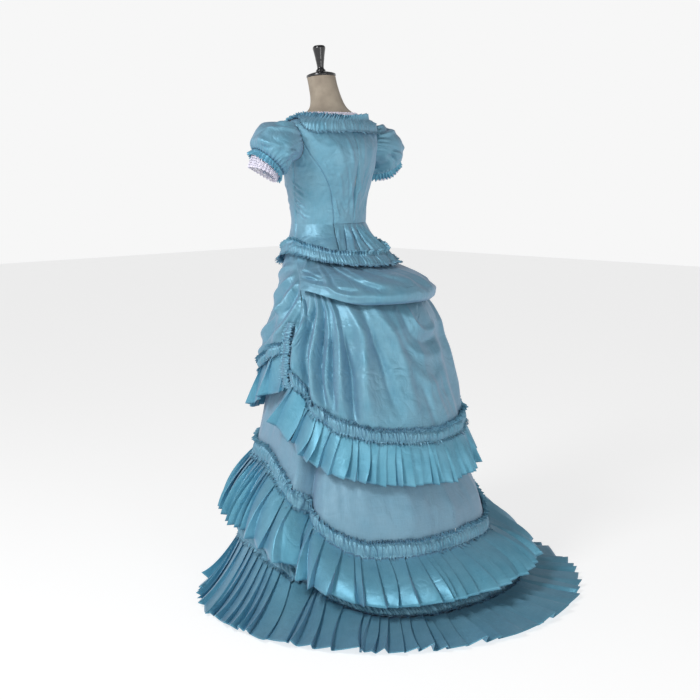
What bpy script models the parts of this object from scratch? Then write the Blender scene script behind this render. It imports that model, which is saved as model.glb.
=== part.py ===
"""A bustle-era day dress in shot taffeta on a limbless tailor's dress form.

Metres, +Z up. The wearer faces -Y, so the train runs to +Y, and the wearer's left is +X.
The origin is the centre of the underside of the form's foot, on the floor.
An angle round the body is in degrees: 0 is the left side, 90 the centre back, -90 the centre front.
"""

import math

import bmesh
import bpy
from mathutils import Matrix, Vector

# Driving sizes
WAIST_Z = 1.137
FRONT_EASE = 0.0035        # how much further it stands off at the front of the neck
TAFFETA = 0.0016          # wall of a cloth panel
FRILL = 0.0026            # wall of a pleated strip, measured outwards from the body
EASE = 0.0016             # the form to the cloth that it carries
SEAM = 0.0003             # between two pieces that are sewn together
BAND_LIFT = 0.0035        # how far a ruched band stands out of the panel under it
NECK_LEAN = 6.0           # degrees that the neck's top leans forward
POLE_RADIUS = 0.016
FOOT_RADIUS = 0.155
FOOT_HEIGHT = 0.020

# Angles of the seams of the bodice at the height of each row
SIDE_SEAM = -9.0
BACK_PRINCESS = ((1.010, 50.0), (1.070, 54.0), (1.137, 57.0), (1.214, 54.5), (1.262, 48.0), (1.310, 37.5),
                 (1.355, 25.5), (1.387, 20.0))
FRONT_PRINCESS = ((0.975, -58.0), (1.070, -61.0), (1.137, -62.0), (1.210, -58.0), (1.275, -52.0),
                  (1.330, -40.0), (1.365, -30.0), (1.387, -24.0))
ARMHOLE = {"centre_z": 1.387, "half_height": 0.055, "back": 20.0, "front": 24.0}
NECKLINE = {"back_z": 1.465, "front_z": 1.405}

# Sections of the form from hip to neck: height, centre, half width, depth to the front and to the back
FORM = (
    (0.880, 0.020, 0.134, 0.086, 0.096),
    (0.930, 0.024, 0.141, 0.089, 0.100),
    (1.000, 0.030, 0.140, 0.092, 0.100),
    (1.060, 0.034, 0.134, 0.098, 0.102),
    (1.100, 0.036, 0.129, 0.103, 0.105),
    (1.137, 0.038, 0.1265, 0.104, 0.109),
    (1.208, 0.037, 0.131, 0.112, 0.113),
    (1.271, 0.042, 0.143, 0.136, 0.122),
    (1.330, 0.050, 0.158, 0.140, 0.122),
    (1.380, 0.055, 0.171, 0.118, 0.110),
    (1.420, 0.055, 0.177, 0.096, 0.090),
    (1.445, 0.052, 0.170, 0.078, 0.086),
    (1.465, 0.048, 0.128, 0.064, 0.082),
    (1.482, 0.043, 0.088, 0.054, 0.066),
    (1.500, 0.037, 0.064, 0.050, 0.055),
    (1.530, 0.027, 0.050, 0.047, 0.050),
    (1.565, 0.016, 0.0455, 0.045, 0.046),
    (1.594, 0.008, 0.0450, 0.045, 0.045),
)
NECK_LEAN_FROM, NECK_LEAN_TO = 1.500, 1.565
FORM_COLUMNS = 20

# The skirts of the bodice below the waist, outer face
PEPLUM = (
    (0.970, 0.086, 0.206, 0.198, 0.205),
    (1.010, 0.078, 0.190, 0.183, 0.186),
    (1.040, 0.072, 0.176, 0.168, 0.158),
    (1.066, 0.066, 0.164, 0.152, 0.138),
    (1.100, 0.050, 0.142, 0.124, 0.120),
    (1.137, 0.038, 0.1293, 0.1068, 0.1118),
)
PEPLUM_HEM = ((-90, 0.992), (-50, 1.030), (-12, 1.060), (20, 1.044), (50, 1.027), (90, 1.020))

# The underskirt, outer face
UNDERSKIRT = (
    (0.020, 0.325, 0.450, 0.470, 0.405),
    (0.040, 0.315, 0.442, 0.458, 0.372),
    (0.060, 0.285, 0.436, 0.440, 0.374),
    (0.100, 0.240, 0.425, 0.408, 0.388),
    (0.150, 0.210, 0.415, 0.386, 0.390),
    (0.200, 0.190, 0.405, 0.374, 0.392),
    (0.246, 0.181, 0.392, 0.366, 0.391),
    (0.295, 0.176, 0.379, 0.358, 0.381),
    (0.347, 0.169, 0.360, 0.346, 0.361),
    (0.400, 0.167, 0.336, 0.326, 0.334),
    (0.460, 0.165, 0.319, 0.318, 0.318),
    (0.530, 0.162, 0.302, 0.300, 0.300),
    (0.600, 0.145, 0.284, 0.268, 0.288),
    (0.700, 0.130, 0.256, 0.240, 0.262),
    (0.830, 0.108, 0.222, 0.202, 0.232),
    (0.930, 0.085, 0.188, 0.168, 0.196),
    (1.000, 0.060, 0.164, 0.138, 0.150),
    (1.060, 0.042, 0.1430, 0.1145, 0.1160),
    (1.095, 0.0356, 0.1324, 0.1052, 0.1071),
)

# The overskirt, outer face: the apron in front and the long drape behind
OVERSKIRT = (
    (0.440, 0.176, 0.337, 0.336, 0.338),
    (0.526, 0.179, 0.321, 0.319, 0.323),
    (0.616, 0.168, 0.304, 0.302, 0.306),
    (0.679, 0.157, 0.295, 0.294, 0.296),
    (0.740, 0.146, 0.285, 0.283, 0.287),
    (0.785, 0.142, 0.273, 0.271, 0.275),
    (0.833, 0.146, 0.263, 0.259, 0.265),
    (0.891, 0.140, 0.240, 0.234, 0.243),
    (0.955, 0.105, 0.212, 0.196, 0.212),
    (1.000, 0.070, 0.178, 0.160, 0.152),
    (1.050, 0.045, 0.152, 0.128, 0.122),
    (1.090, 0.037, 0.1370, 0.1100, 0.1125),
)
APRON_HEM = ((-90, 0.640), (-45, 0.665), (-12, 0.735), (6, 0.760))
DRAPE_HEM = ((-4, 0.735), (8, 0.655), (18, 0.585), (32, 0.535), (55, 0.505), (90, 0.490))

# The puff over the bustle, outer face; it is only used from one side round the back to the other
PUFF = (
    (0.904, 0.146, 0.246, 0.246, 0.248),
    (0.915, 0.147, 0.252, 0.252, 0.260),
    (0.937, 0.144, 0.251, 0.251, 0.264),
    (0.962, 0.130, 0.236, 0.236, 0.256),
    (0.984, 0.110, 0.217, 0.217, 0.234),
    (1.000, 0.087, 0.200, 0.200, 0.196),
    (1.018, 0.066, 0.180, 0.180, 0.156),
    (1.036, 0.056, 0.169, 0.169, 0.142),
    (1.060, 0.045, 0.156, 0.156, 0.126),
    (1.086, 0.038, 0.1412, 0.1412, 0.1157),
)
PUFF_FROM = 4.0
SKIRT_ROWS, BODICE_ROWS = 3, 8     # rows of the panels below the waist and up to the armhole
ARMPIT = -97.0                     # where the side seam meets the armhole

# Heights of the trim on the underskirt, behind and in front, and the turn between the two
TRIM_TURN = (50.0, -20.0)
TIER = {"band_top": (0.222, 0.455), "band_low": (0.176, 0.410), "hem": (0.074, 0.240)}
HEM = {"band_top": (0.060, 0.208), "band_low": (0.036, 0.164)}
TIER_FLARE = (0.075, 0.042)
TRAIN = {"centre": 0.300, "side": 0.628, "front": 0.545, "back": 0.592, "z": 0.0004}

# Pleats round the whole ring or strip; the peplum's frill has 23 more and the two sleeves 16 gathers
PLEATS = {"hem": 58, "tier": 42, "drape": 28, "apron": 12, "neck": 20}

SLEEVE = {
    "cuff_centre": (0.256, 0.034, 1.330),
    "cuff_radius": 0.058,
    "cuff_lean": 48.0,
    "cuff_turn": 22.0,
    "columns": 16,
}

COLOURS = {
    "taffeta": ((0.17, 0.38, 0.47), 0.42, 0.0),
    "lace": ((0.72, 0.74, 0.80), 0.80, 0.0),
    "calico": ((0.42, 0.38, 0.33), 0.90, 0.0),
    "ebonised": ((0.012, 0.012, 0.014), 0.30, 0.0),
    "iron": ((0.03, 0.03, 0.03), 0.45, 0.9),
}


def clear_scene():
    for thing in list(bpy.data.objects):
        bpy.data.objects.remove(thing)


def material(kind):
    made = bpy.data.materials.get(kind)
    if made:
        return made
    made = bpy.data.materials.new(kind)
    made.use_nodes = True
    colour, roughness, metallic = COLOURS[kind]
    shader = made.node_tree.nodes["Principled BSDF"]
    shader.inputs["Base Color"].default_value = (*colour, 1.0)
    shader.inputs["Roughness"].default_value = roughness
    shader.inputs["Metallic"].default_value = metallic
    return made


def ease(t):
    t = min(1.0, max(0.0, t))
    return t * t * (3 - 2 * t)


def along(rows, x):
    """The values of a table at x, its first column, on a smooth curve through the rows."""
    if rows[0][0] > rows[-1][0]:
        rows = rows[::-1]
    x = min(rows[-1][0], max(rows[0][0], x))
    i = 0
    while i < len(rows) - 2 and x > rows[i + 1][0]:
        i += 1
    low, high = rows[i], rows[i + 1]
    before, after = rows[max(0, i - 1)], rows[min(len(rows) - 1, i + 2)]
    span = high[0] - low[0]
    t = (x - low[0]) / span
    values = []
    for k in range(1, len(low)):
        rise = (high[k] - low[k]) / span
        slope_in = rise if before is low else (high[k] - before[k]) / (high[0] - before[0])
        slope_out = rise if after is high else (after[k] - low[k]) / (after[0] - low[0])
        values.append(
            (2 * t**3 - 3 * t**2 + 1) * low[k] + (t**3 - 2 * t**2 + t) * span * slope_in
            + (3 * t**2 - 2 * t**3) * high[k] + (t**3 - t**2) * span * slope_out
        )
    return values[0] if len(values) == 1 else values


def mirrored(angle):
    """The angle on the left half of the body that matches one on either half."""
    angle = (angle + 90.0) % 360.0 - 90.0
    return angle if angle <= 90.0 else 180.0 - angle


def ring_point(table, angle, z, out):
    """A point of an egg-shaped section, moved out by a distance in its own plane."""
    centre, side, front, back = along(table, z)
    depth = back if math.sin(math.radians(angle)) > 0 else front
    c, s = math.cos(math.radians(angle)), math.sin(math.radians(angle))
    normal = Vector((c * depth, s * side, 0)).normalized()
    return Vector((side * c, centre + depth * s, z)) + normal * out


def surface_point(place, angle, z, out):
    """A point of a smooth surface place(angle, z), moved out along the surface's normal."""
    here = place(angle, z)
    turned = place(angle + 0.5, z) - place(angle - 0.5, z)
    risen = place(angle, z + 0.002) - place(angle, z - 0.002)
    return here + turned.cross(risen).normalized() * out


def body(angle, z):
    """The form's surface, with the neck's top leaning forward."""
    point = ring_point(FORM, angle, z, 0)
    lean = math.tan(math.radians(NECK_LEAN)) * ease((z - NECK_LEAN_FROM) / (NECK_LEAN_TO - NECK_LEAN_FROM))
    centre = along(FORM, z)[0]
    point.z += (point.y - centre) * lean
    return point


def bodice(angle, z):
    """The bodice's inner face: on the form down to the waist, and sprung out over the skirts below it."""
    if z >= WAIST_Z:
        front = ease(-2.2 * math.sin(math.radians(angle)))
        return surface_point(body, angle, z, EASE + FRONT_EASE * front * ease((z - 1.395) / 0.03))
    return ring_point(PEPLUM, angle, z, -TAFFETA)


def bodice_point(angle, z, out):
    """A point of the bodice, moved out from its inner face; at the waist seam it moves out level."""
    if z > WAIST_Z + 0.004:
        return surface_point(bodice, angle, z, out)
    if z < WAIST_Z - 0.004:
        return ring_point(PEPLUM, angle, z, out - TAFFETA)
    level = ring_point(PEPLUM, angle, WAIST_Z, 1) - ring_point(PEPLUM, angle, WAIST_Z, 0)
    return bodice(angle, z) + level * out


def fold(angle, at, width, depth):
    """One soft fold: how far the cloth moves out at an angle, for a ridge or, with a negative depth, a groove."""
    apart = (mirrored(angle) - at) / width
    return depth * math.exp(-apart * apart)


def underskirt_point(angle, z, out):
    """The underskirt's outer face, with the deep fold where its side meets the train."""
    depth = 0.032 * ease((0.62 - z) / 0.22) * ease(z / 0.12 + 0.25)
    wave = 0.004 * ease((0.60 - z) / 0.25) * math.cos(math.radians(mirrored(angle)) * 11)
    return ring_point(UNDERSKIRT, angle, z, out + wave + fold(angle, 17.0, 4.5, -depth))


# Folds of the drape and of the apron: angle, how far the cloth stands out
DRAPE_FOLDS = (
    (-6, 0.0), (5, 0.004), (8.5, 0.014), (14, 0.0), (20, 0.015), (26, 0.001), (33, 0.014), (41, 0.0),
    (50, 0.012), (60, 0.0), (70, 0.009), (80, 0.001), (90, 0.009),
)
APRON_FOLDS = (
    (-90, 0.008), (-76, 0.0), (-61.5, 0.010), (-47, 0.0), (-33, 0.012), (-23.5, 0.0), (-14, 0.014), (-4.5, 0.001),
    (6, 0.003),
)


def overskirt_point(angle, z, out):
    """The overskirt's outer face, with the folds that fall from the puff and the apron's soft ones."""
    half = mirrored(angle)
    if half > 5:
        fall = ease((0.90 - z) / 0.16) * (0.30 + 0.70 * ease((z - 0.46) / 0.16))
        swell = along(DRAPE_FOLDS, half) * fall
    else:
        swell = along(APRON_FOLDS, half) * ease((1.00 - z) / 0.14) * (0.30 + 0.70 * ease((z - 0.60) / 0.16))
    return ring_point(OVERSKIRT, angle, z, out + swell)


def grid_wall(name, kind, outer, inner, closed=False, smooth=True):
    """A closed wall between an outer and an inner grid of points, rows going up and columns anticlockwise."""
    rows, columns = len(outer), len(outer[0])
    mesh = bmesh.new()
    faces = [[[mesh.verts.new(p) for p in row] for row in grid] for grid in (outer, inner)]
    turns = columns if closed else columns - 1

    def quad(a, b, c, d, turned=False):
        a, b, c, d = (b, c, d, a) if turned else (a, b, c, d)
        mesh.faces.new((a, b, c))
        mesh.faces.new((a, c, d))

    for j in range(turns):
        k = (j + 1) % columns
        out, into = faces
        quad(into[0][j], into[0][k], out[0][k], out[0][j])
        quad(out[-1][j], out[-1][k], into[-1][k], into[-1][j])
    if not closed:
        for i in range(rows - 1):
            out, into = faces
            quad(out[i][0], out[i + 1][0], into[i + 1][0], into[i][0])
            quad(into[i][-1], into[i + 1][-1], out[i + 1][-1], out[i][-1])
    for i in range(rows - 1):
        for j in range(turns):
            k = (j + 1) % columns
            out, into = faces
            # both faces are cut along the outer one's shorter diagonal, or thin walls would cross where they twist
            turned = (out[i][j].co - out[i + 1][k].co).length > (out[i][k].co - out[i + 1][j].co).length
            quad(out[i][j], out[i][k], out[i + 1][k], out[i + 1][j], turned)
            quad(into[i][j], into[i + 1][j], into[i + 1][k], into[i][k], turned)
    bmesh.ops.recalc_face_normals(mesh, faces=mesh.faces)
    data = bpy.data.meshes.new(name)
    mesh.to_mesh(data)
    mesh.free()
    data.materials.append(material(kind))
    if smooth:
        data.shade_smooth()
        data.set_sharp_from_angle(angle=math.radians(50))
    made = bpy.data.objects.new(name, data)
    bpy.context.scene.collection.objects.link(made)
    return made


def wall(name, kind, places, point, out, thick, closed=False):
    """A wall over a grid of (angle, height) places on a surface point(angle, height, out)."""
    outer = [[point(a, z, out) for a, z in row] for row in places]
    inner = [[point(a, z, out - thick) for a, z in row] for row in places]
    return grid_wall(name, kind, outer, inner, closed)


def flip(places):
    """The same grid of places on the wearer's right."""
    return [[(180.0 - a, z) for a, z in reversed(row)] for row in places]


def neck_height(angle):
    """The neckline's height, straight between the columns of the panels."""
    knot = math.floor((angle + 90) / 18) * 18 - 90
    dips = [ease(max(0.0, -math.sin(math.radians(a)))) for a in (knot, knot + 18)]
    dip = dips[0] + (dips[1] - dips[0]) * (angle - knot) / 18
    return NECKLINE["back_z"] - (NECKLINE["back_z"] - NECKLINE["front_z"]) * dip


def armhole(turn):
    """A place on the armhole: turn 0 is its back edge, 90 the shoulder point, 180 its front edge."""
    c, s = math.cos(math.radians(turn)), math.sin(math.radians(turn))
    reach = ARMHOLE["back"] if c > 0 else ARMHOLE["front"]
    return reach * c, ARMHOLE["centre_z"] + ARMHOLE["half_height"] * s


def hem_of_peplum(angle):
    return along(PEPLUM_HEM, mirrored(angle))


def nudge(angle, z, way):
    """The angle moved by half a seam's gap."""
    side = along(FORM if z > WAIST_Z else PEPLUM, z)[1]
    return angle + way * math.degrees(SEAM / 2 / side) * 1.6


def shared_rows(low, top, count):
    """A height that goes from low to top over a count of rows, with both ends kept exact."""
    return [low + (top - low) * i / count for i in range(count + 1)]


def seam_line(table, way, low, top_z):
    """Places down a princess seam: rows of the skirt under the waist, then rows of the bodice."""
    heights = (shared_rows(low, WAIST_Z, SKIRT_ROWS)[:-1] if low < WAIST_Z - 0.01 else []) + shared_rows(
        WAIST_Z + SEAM / 2, top_z, BODICE_ROWS)
    return [(nudge(along(table, z), z, way), z) for z in heights]


def side_line(way):
    low, top = hem_of_peplum(SIDE_SEAM), armhole(ARMPIT)[1]
    heights = shared_rows(low, WAIST_Z, SKIRT_ROWS)[:-1] + shared_rows(WAIST_Z + SEAM / 2, top, BODICE_ROWS)
    lean = armhole(ARMPIT)[0] - SIDE_SEAM
    return [(nudge(SIDE_SEAM + lean * ease((z - WAIST_Z) / (top - WAIST_Z)), z, way), z) for z in heights]


def filled(left, right, low, top):
    """A grid of places between four edges: level rows that bend to the low and the top edge near them."""
    rows, columns = len(left) - 1, len(low) - 1
    grid = []
    for i in range(rows + 1):
        v = i / rows
        row = []
        for j in range(columns + 1):
            u = j / columns
            row.append(tuple(
                (1 - u) * left[i][k] + u * right[i][k]
                + (1 - v) ** 2 * (low[j][k] - (1 - u) * left[0][k] - u * right[0][k])
                + v ** 5 * (top[j][k] - (1 - u) * left[-1][k] - u * right[-1][k]) for k in (0, 1)))
        grid.append(row)
    return grid


def between(first, last, count, place=None):
    """Places from one to another, straight in angle and height unless place(angle) gives the height."""
    made = []
    for i in range(count + 1):
        t = i / count
        angle, z = (first[k] + (last[k] - first[k]) * t for k in (0, 1))
        made.append((angle, z if place is None or i in (0, count) else place(angle)))
    return made


def panel(name, places, point=None, kind="taffeta"):
    point = point or bodice_point
    wall(f"{name}_left", kind, places, point, TAFFETA, TAFFETA)
    wall(f"{name}_right", kind, flip(places), point, TAFFETA, TAFFETA)


def make_bodice():
    """Back, side back, side front and front panels; all but the back go on below the waist."""
    top_z = ARMHOLE["centre_z"]
    shoulder_z = top_z + ARMHOLE["half_height"]
    waist = WAIST_Z + SEAM / 2

    def to_shoulder(line, sign):
        """A princess seam and then the armhole's edge up to the shoulder seam."""
        turns = (30.0, 60.0) if sign > 0 else (150.0, 120.0)
        return line + [armhole(turn) for turn in turns] + [(nudge(0, 1.44, sign), shoulder_z)]

    def neckline(sign, centre, columns):
        """From the centre to the shoulder's inner end, and one step more to its outer end."""
        inner = (nudge(0, 1.44, sign), NECKLINE["back_z"])
        return between((centre, neck_height(centre)), inner, columns - 1, neck_height) + [(inner[0], shoulder_z)]

    seam = seam_line(BACK_PRINCESS, 1, waist, top_z)
    centre = [(nudge(90.0, 1.2, -1), waist + (NECKLINE["back_z"] - waist) * i / (BODICE_ROWS + 3))
              for i in range(BODICE_ROWS + 4)]
    back = filled(centre, to_shoulder(seam, 1), between(centre[0], seam[0], 6), neckline(1, centre[0][0], 6))
    panel("bodice_back", [row[::-1] for row in back])

    seam = seam_line(FRONT_PRINCESS, -1, hem_of_peplum(-58), top_z)
    centre_low = hem_of_peplum(-90)
    heights = shared_rows(centre_low, WAIST_Z, SKIRT_ROWS)[:-1] + shared_rows(
        waist, NECKLINE["front_z"], BODICE_ROWS + 3)
    centre = [(-90.0, z) for z in heights]
    half = filled(centre, to_shoulder(seam, -1), between(centre[0], seam[0], 6, hem_of_peplum),
                  neckline(-1, -90.0, 6))
    front = [[(-180.0 - a, z) for a, z in reversed(row[1:])] + row for row in half]
    wall("bodice_front", "taffeta", front, bodice_point, TAFFETA, TAFFETA)

    for name, table, way, turns in (
        ("side_back", BACK_PRINCESS, 1, (0, ARMPIT)), ("side_front", FRONT_PRINCESS, -1, (180, 360 + ARMPIT)),
    ):
        low = hem_of_peplum(along(table, 1.02))
        seam, side = seam_line(table, -way, low, top_z), side_line(way)
        top = [seam[-1]] + [armhole(turns[0] + (turns[1] - turns[0]) * j / 6) for j in range(1, 6)] + [side[-1]]
        grid = filled(seam, side, between(seam[0], side[0], 6, hem_of_peplum), top)
        panel(f"bodice_{name}", [row[::-1] for row in grid] if way > 0 else grid)


def basque_fold(angle, z):
    """Box pleats of the skirt of the back, which open out from nothing at the waist."""
    start = along(BACK_PRINCESS, min(z, WAIST_Z))
    t = (mirrored(angle) - start) / (90.0 - start)
    if t <= 0:
        return 0.0
    return 0.008 * ease((WAIST_Z - z) / 0.10) * (0.5 - 0.5 * math.cos(2 * math.pi * 2.0 * t))


def basque_point(angle, z, out):
    return bodice_point(angle, z, out + basque_fold(angle, z))


def basque_columns(z, way=1):
    start = nudge(along(BACK_PRINCESS, z), z, way)
    return [start + (180.0 - 2 * start) * j / 16 for j in range(17)]


def make_basque():
    low = hem_of_peplum(54)
    grid = [[(a, z - (low - hem_of_peplum(a)) * (WAIST_Z - z) / (WAIST_Z - low)) for a in basque_columns(z)]
            for z in shared_rows(low, WAIST_Z - SEAM / 2, SKIRT_ROWS)]
    wall("basque_back", "taffeta", grid, basque_point, TAFFETA, TAFFETA)


def skirt_places(columns, hem, levels, fixed_from):
    """Places on a skirt: below fixed_from the rows close up towards the hem, above it they are level."""
    low = [z for z in levels if z < fixed_from]
    grid = []
    for i in range(len(levels)):
        row = []
        for a in columns:
            if levels[i] < fixed_from:
                t = (levels[i] - low[0]) / (fixed_from - low[0])
                row.append((a, hem(a) + (fixed_from - hem(a)) * t))
            else:
                row.append((a, levels[i]))
        grid.append(row)
    return grid


def lattice(places, point, out=0.0):
    return [[(a, z, point(a, z, out)) for a, z in row] for row in places]


def on_lattice(grid, angle, z):
    """A point on the flat faces of a panel whose columns each keep one angle."""
    columns = [spot[0] for spot in grid[0]]
    j = max(0, min(len(columns) - 2, sum(1 for a in columns if a <= angle) - 1))
    f = min(1.0, max(0.0, (angle - columns[j]) / (columns[j + 1] - columns[j])))
    heights = [row[j][1] * (1 - f) + row[j + 1][1] * f for row in grid]
    i = max(0, min(len(heights) - 2, sum(1 for h in heights if h <= z) - 1))
    g = (z - heights[i]) / (heights[i + 1] - heights[i])
    low = grid[i][j][2].lerp(grid[i][j + 1][2], f)
    top = grid[i + 1][j][2].lerp(grid[i + 1][j + 1][2], f)
    return low + (top - low) * g


def normals(grid, closed):
    """Outward normals of a grid of points."""
    rows, columns = len(grid), len(grid[0])
    made = []
    for i in range(rows):
        row = []
        for j in range(columns):
            before, after = (j - 1, j + 1) if closed else (max(0, j - 1), min(columns - 1, j + 1))
            turned = grid[i][after % columns] - grid[i][before % columns]
            risen = grid[min(rows - 1, i + 1)][j] - grid[max(0, i - 1)][j]
            row.append(turned.cross(risen).normalized())
        made.append(row)
    return made


def strip(name, kind, base, closed, clear, thick, depths):
    """A strip over a grid of base points: each column stands out by a depth that grows down its rows.

    depths(i, j) is how far the strip's inner face stands out of its base, on top of the clear gap.
    """
    ways = normals(base, closed)
    rows, columns = len(base), len(base[0])
    inner = [[base[i][j] + ways[i][j] * (clear + depths(i, j)) for j in range(columns)] for i in range(rows)]
    outer = [[inner[i][j] + ways[i][j] * thick for j in range(columns)] for i in range(rows)]
    return grid_wall(name, kind, outer, inner, closed)


def uneven(j, share=0.22):
    """A gather's own size, a little different from the next one's."""
    return 1.0 + share * math.sin(j * 2.4) * math.cos(j * 0.7)


def turn_share(angle, way=TRIM_TURN):
    """0 behind and 1 in front, with a smooth change between the two angles."""
    return ease((way[0] - mirrored(angle)) / (way[0] - way[1]))


def trim_height(pair, angle):
    return pair[0] + (pair[1] - pair[0]) * turn_share(angle)


def stepped(pair, angle):
    """A trim's height, straight between the columns of the underskirt."""
    knots = skirt_angles()
    angle = (angle + 90.0) % 360.0 - 90.0
    j = max(0, min(len(knots) - 2, sum(1 for a in knots if a <= angle) - 1))
    t = (angle - knots[j]) / (knots[j + 1] - knots[j])
    return trim_height(pair, knots[j]) * (1 - t) + trim_height(pair, knots[j + 1]) * t


def hem_of_underskirt(angle):
    return stepped(HEM["band_low"], angle) - 0.006


def skirt_angles():
    """Columns round the underskirt, closer together over its two deep folds and one at each seam."""
    left = [-90, -75, -60, -45, -32, -20, -10, -1, 5.5, 10, 13.5, 17, 20.5, 24, 28.5, 35, 43, 52, 61.5, 71, 80.5, 90]
    return left + [180 - a for a in reversed(left[:-1])]


def make_underskirt():
    """Gores of the underskirt, with a gathered tier, a ruched band over each ruffle and the floor ruffle."""
    levels = [0.03, 0.052, 0.085, 0.135, 0.20, 0.29, 0.42, 0.58, 0.76, 0.92, 1.02, 1.055, 1.092]
    angles = skirt_angles()
    seams = (-45, 17, 90, 163, 225)
    names = ("front", "side_left", "back_left", "back_right", "side_right")
    bounds = (-135.0,) + seams
    hem = hem_of_underskirt
    for name, first, last in zip(names, bounds, seams):
        columns = [a for a in angles + [a - 360 for a in angles] if first <= a <= last]
        columns = sorted(set(columns))
        columns[0], columns[-1] = nudge(columns[0], 0.5, 1.2), nudge(columns[-1], 0.5, -1.2)
        wall(f"underskirt_{name}", "taffeta", skirt_places(columns, hem, levels, 0.42),
             underskirt_point, 0.0, TAFFETA)
    grid = lattice(skirt_places(angles, hem, levels, 0.42), underskirt_point)
    make_ring_band("hem_band", grid, angles[:-1], HEM, 0.0016)
    make_ring_band("tier_band", grid, angles[:-1],
                   {"band_top": TIER["band_top"], "band_low": TIER["band_low"]}, 0.0012)
    make_tier_ruffle(grid)
    make_hem_ruffle(grid)


def make_ring_band(name, grid, angles, heights, clear):
    rows = []
    for t in (0.0, 0.5, 1.0):
        rows.append([on_lattice(grid, a, trim_height(heights["band_low"], a) * (1 - t)
                                + trim_height(heights["band_top"], a) * t) for a in angles])
    rise = (0.0, BAND_LIFT, 0.0)
    ways = normals(rows, True)
    inner = [[rows[i][j] + ways[i][j] * clear for j in range(len(angles))] for i in range(3)]
    outer = [[inner[i][j] + ways[i][j] * (0.0016 + rise[i]) for j in range(len(angles))] for i in range(3)]
    grid_wall(name, "taffeta", outer, inner, True)


def pleat_angles(count):
    """Columns for a ring of pleats: two a pleat, shared out so that each panel column has one."""
    knots = skirt_angles()
    widths = [b - a for a, b in zip(knots, knots[1:])]
    shares = [max(1, round(w * count * 2 / 360)) for w in widths]
    while sum(shares) != count * 2:
        step = 1 if sum(shares) < count * 2 else -1
        loads = [(w / n if step > 0 or n > 1 else 1e6, i) for i, (w, n) in enumerate(zip(widths, shares))]
        shares[(max if step > 0 else min)(loads)[1]] += step
    return [a + w * i / n for a, w, n in zip(knots, widths, shares) for i in range(n)]


def make_tier_ruffle(grid):
    angles = pleat_angles(PLEATS["tier"])
    tops = [on_lattice(grid, a, stepped(TIER["band_low"], a) - 0.0046) for a in angles]
    rows = []
    for t in (1.0, 0.5, 0.0):
        row = []
        for a, top in zip(angles, tops):
            low = trim_height(TIER["hem"], a)
            flare = TIER_FLARE[0] + (TIER_FLARE[1] - TIER_FLARE[0]) * turn_share(a)
            spot = underskirt_point(a, max(low, hem_of_underskirt(a)), 0)
            way = (underskirt_point(a, 0.25, 0.1) - underskirt_point(a, 0.25, 0)) * 10
            end = Vector((spot.x, spot.y, 0)) + way * flare
            end.z = low
            if t == 0.5:
                point = top.lerp(end, 0.56) + way * 0.012
                point.z = top.z + (end.z - top.z) * 0.5
                row.append(point)
            else:
                row.append(end if t else top)
        rows.append(row)

    def depths(i, j):
        size = (0.018, 0.011, 0.0)[i]
        return size * uneven(j) if j % 2 else 0.0
    strip("tier_ruffle", "taffeta", rows, True, 0.0012, FRILL, depths)


def train_point(angle, share):
    """The hem ruffle's edge on the floor, or a share of the way in from it."""
    c, s = math.cos(math.radians(angle)), math.sin(math.radians(angle))
    depth = TRAIN["back"] if s > 0 else TRAIN["front"]
    return Vector((TRAIN["side"] * c * share, TRAIN["centre"] + depth * s * share, TRAIN["z"]))


def make_hem_ruffle(grid):
    angles = pleat_angles(PLEATS["hem"])
    rows = [[], [], []]
    for a in angles:
        low = hem_of_underskirt(a)
        top = on_lattice(grid, a, low)
        top.z -= 0.0016 + FRILL * (0.8 - 0.5 * turn_share(a))
        edge = train_point(a, 1.0)
        middle = top.lerp(edge, 0.5)
        middle.z = top.z * 0.36
        rows[0].append(edge)
        rows[1].append(middle)
        rows[2].append(top)

    def depths(i, j):
        size = (0.014, 0.012, 0.0)[i]
        return size * uneven(j) if j % 2 else 0.0
    strip("hem_ruffle", "taffeta", rows, True, 0.0, FRILL, depths)


OVER_LEVELS = (0.80, 0.87, 0.93, 0.975, 1.02, 1.055, 1.088)


def over_rows(hem, angles, count):
    """Places on the overskirt: rows that close up from 0.80 to the hem, then the shared level ones."""
    low = [[(a, hem(a) + (OVER_LEVELS[0] - hem(a)) * i / count) for a in angles] for i in range(count)]
    return low + [[(a, z) for a in angles] for z in OVER_LEVELS]


def half_angles(left):
    return left + [180 - a for a in reversed(left[:-1])]


def hem_of_apron(angle):
    return along(APRON_HEM, mirrored(angle))


def hem_of_drape(angle):
    return along(DRAPE_HEM, mirrored(angle))


def hem_band(name, grid, angles, hem, height):
    """A ruched band over the lowest part of a panel, from its hem up."""
    rows = [[on_lattice(grid, a, hem(a) + height * t) for a in angles] for t in (0.02, 0.5, 1.0)]
    ways = normals(rows, False)
    rise = (0.0, BAND_LIFT, 0.0)
    inner = [[rows[i][j] + ways[i][j] * 0.0026 for j in range(len(angles))] for i in range(3)]
    outer = [[inner[i][j] + ways[i][j] * (0.0016 + rise[i]) for j in range(len(angles))] for i in range(3)]
    grid_wall(name, "taffeta", outer, inner)


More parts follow.
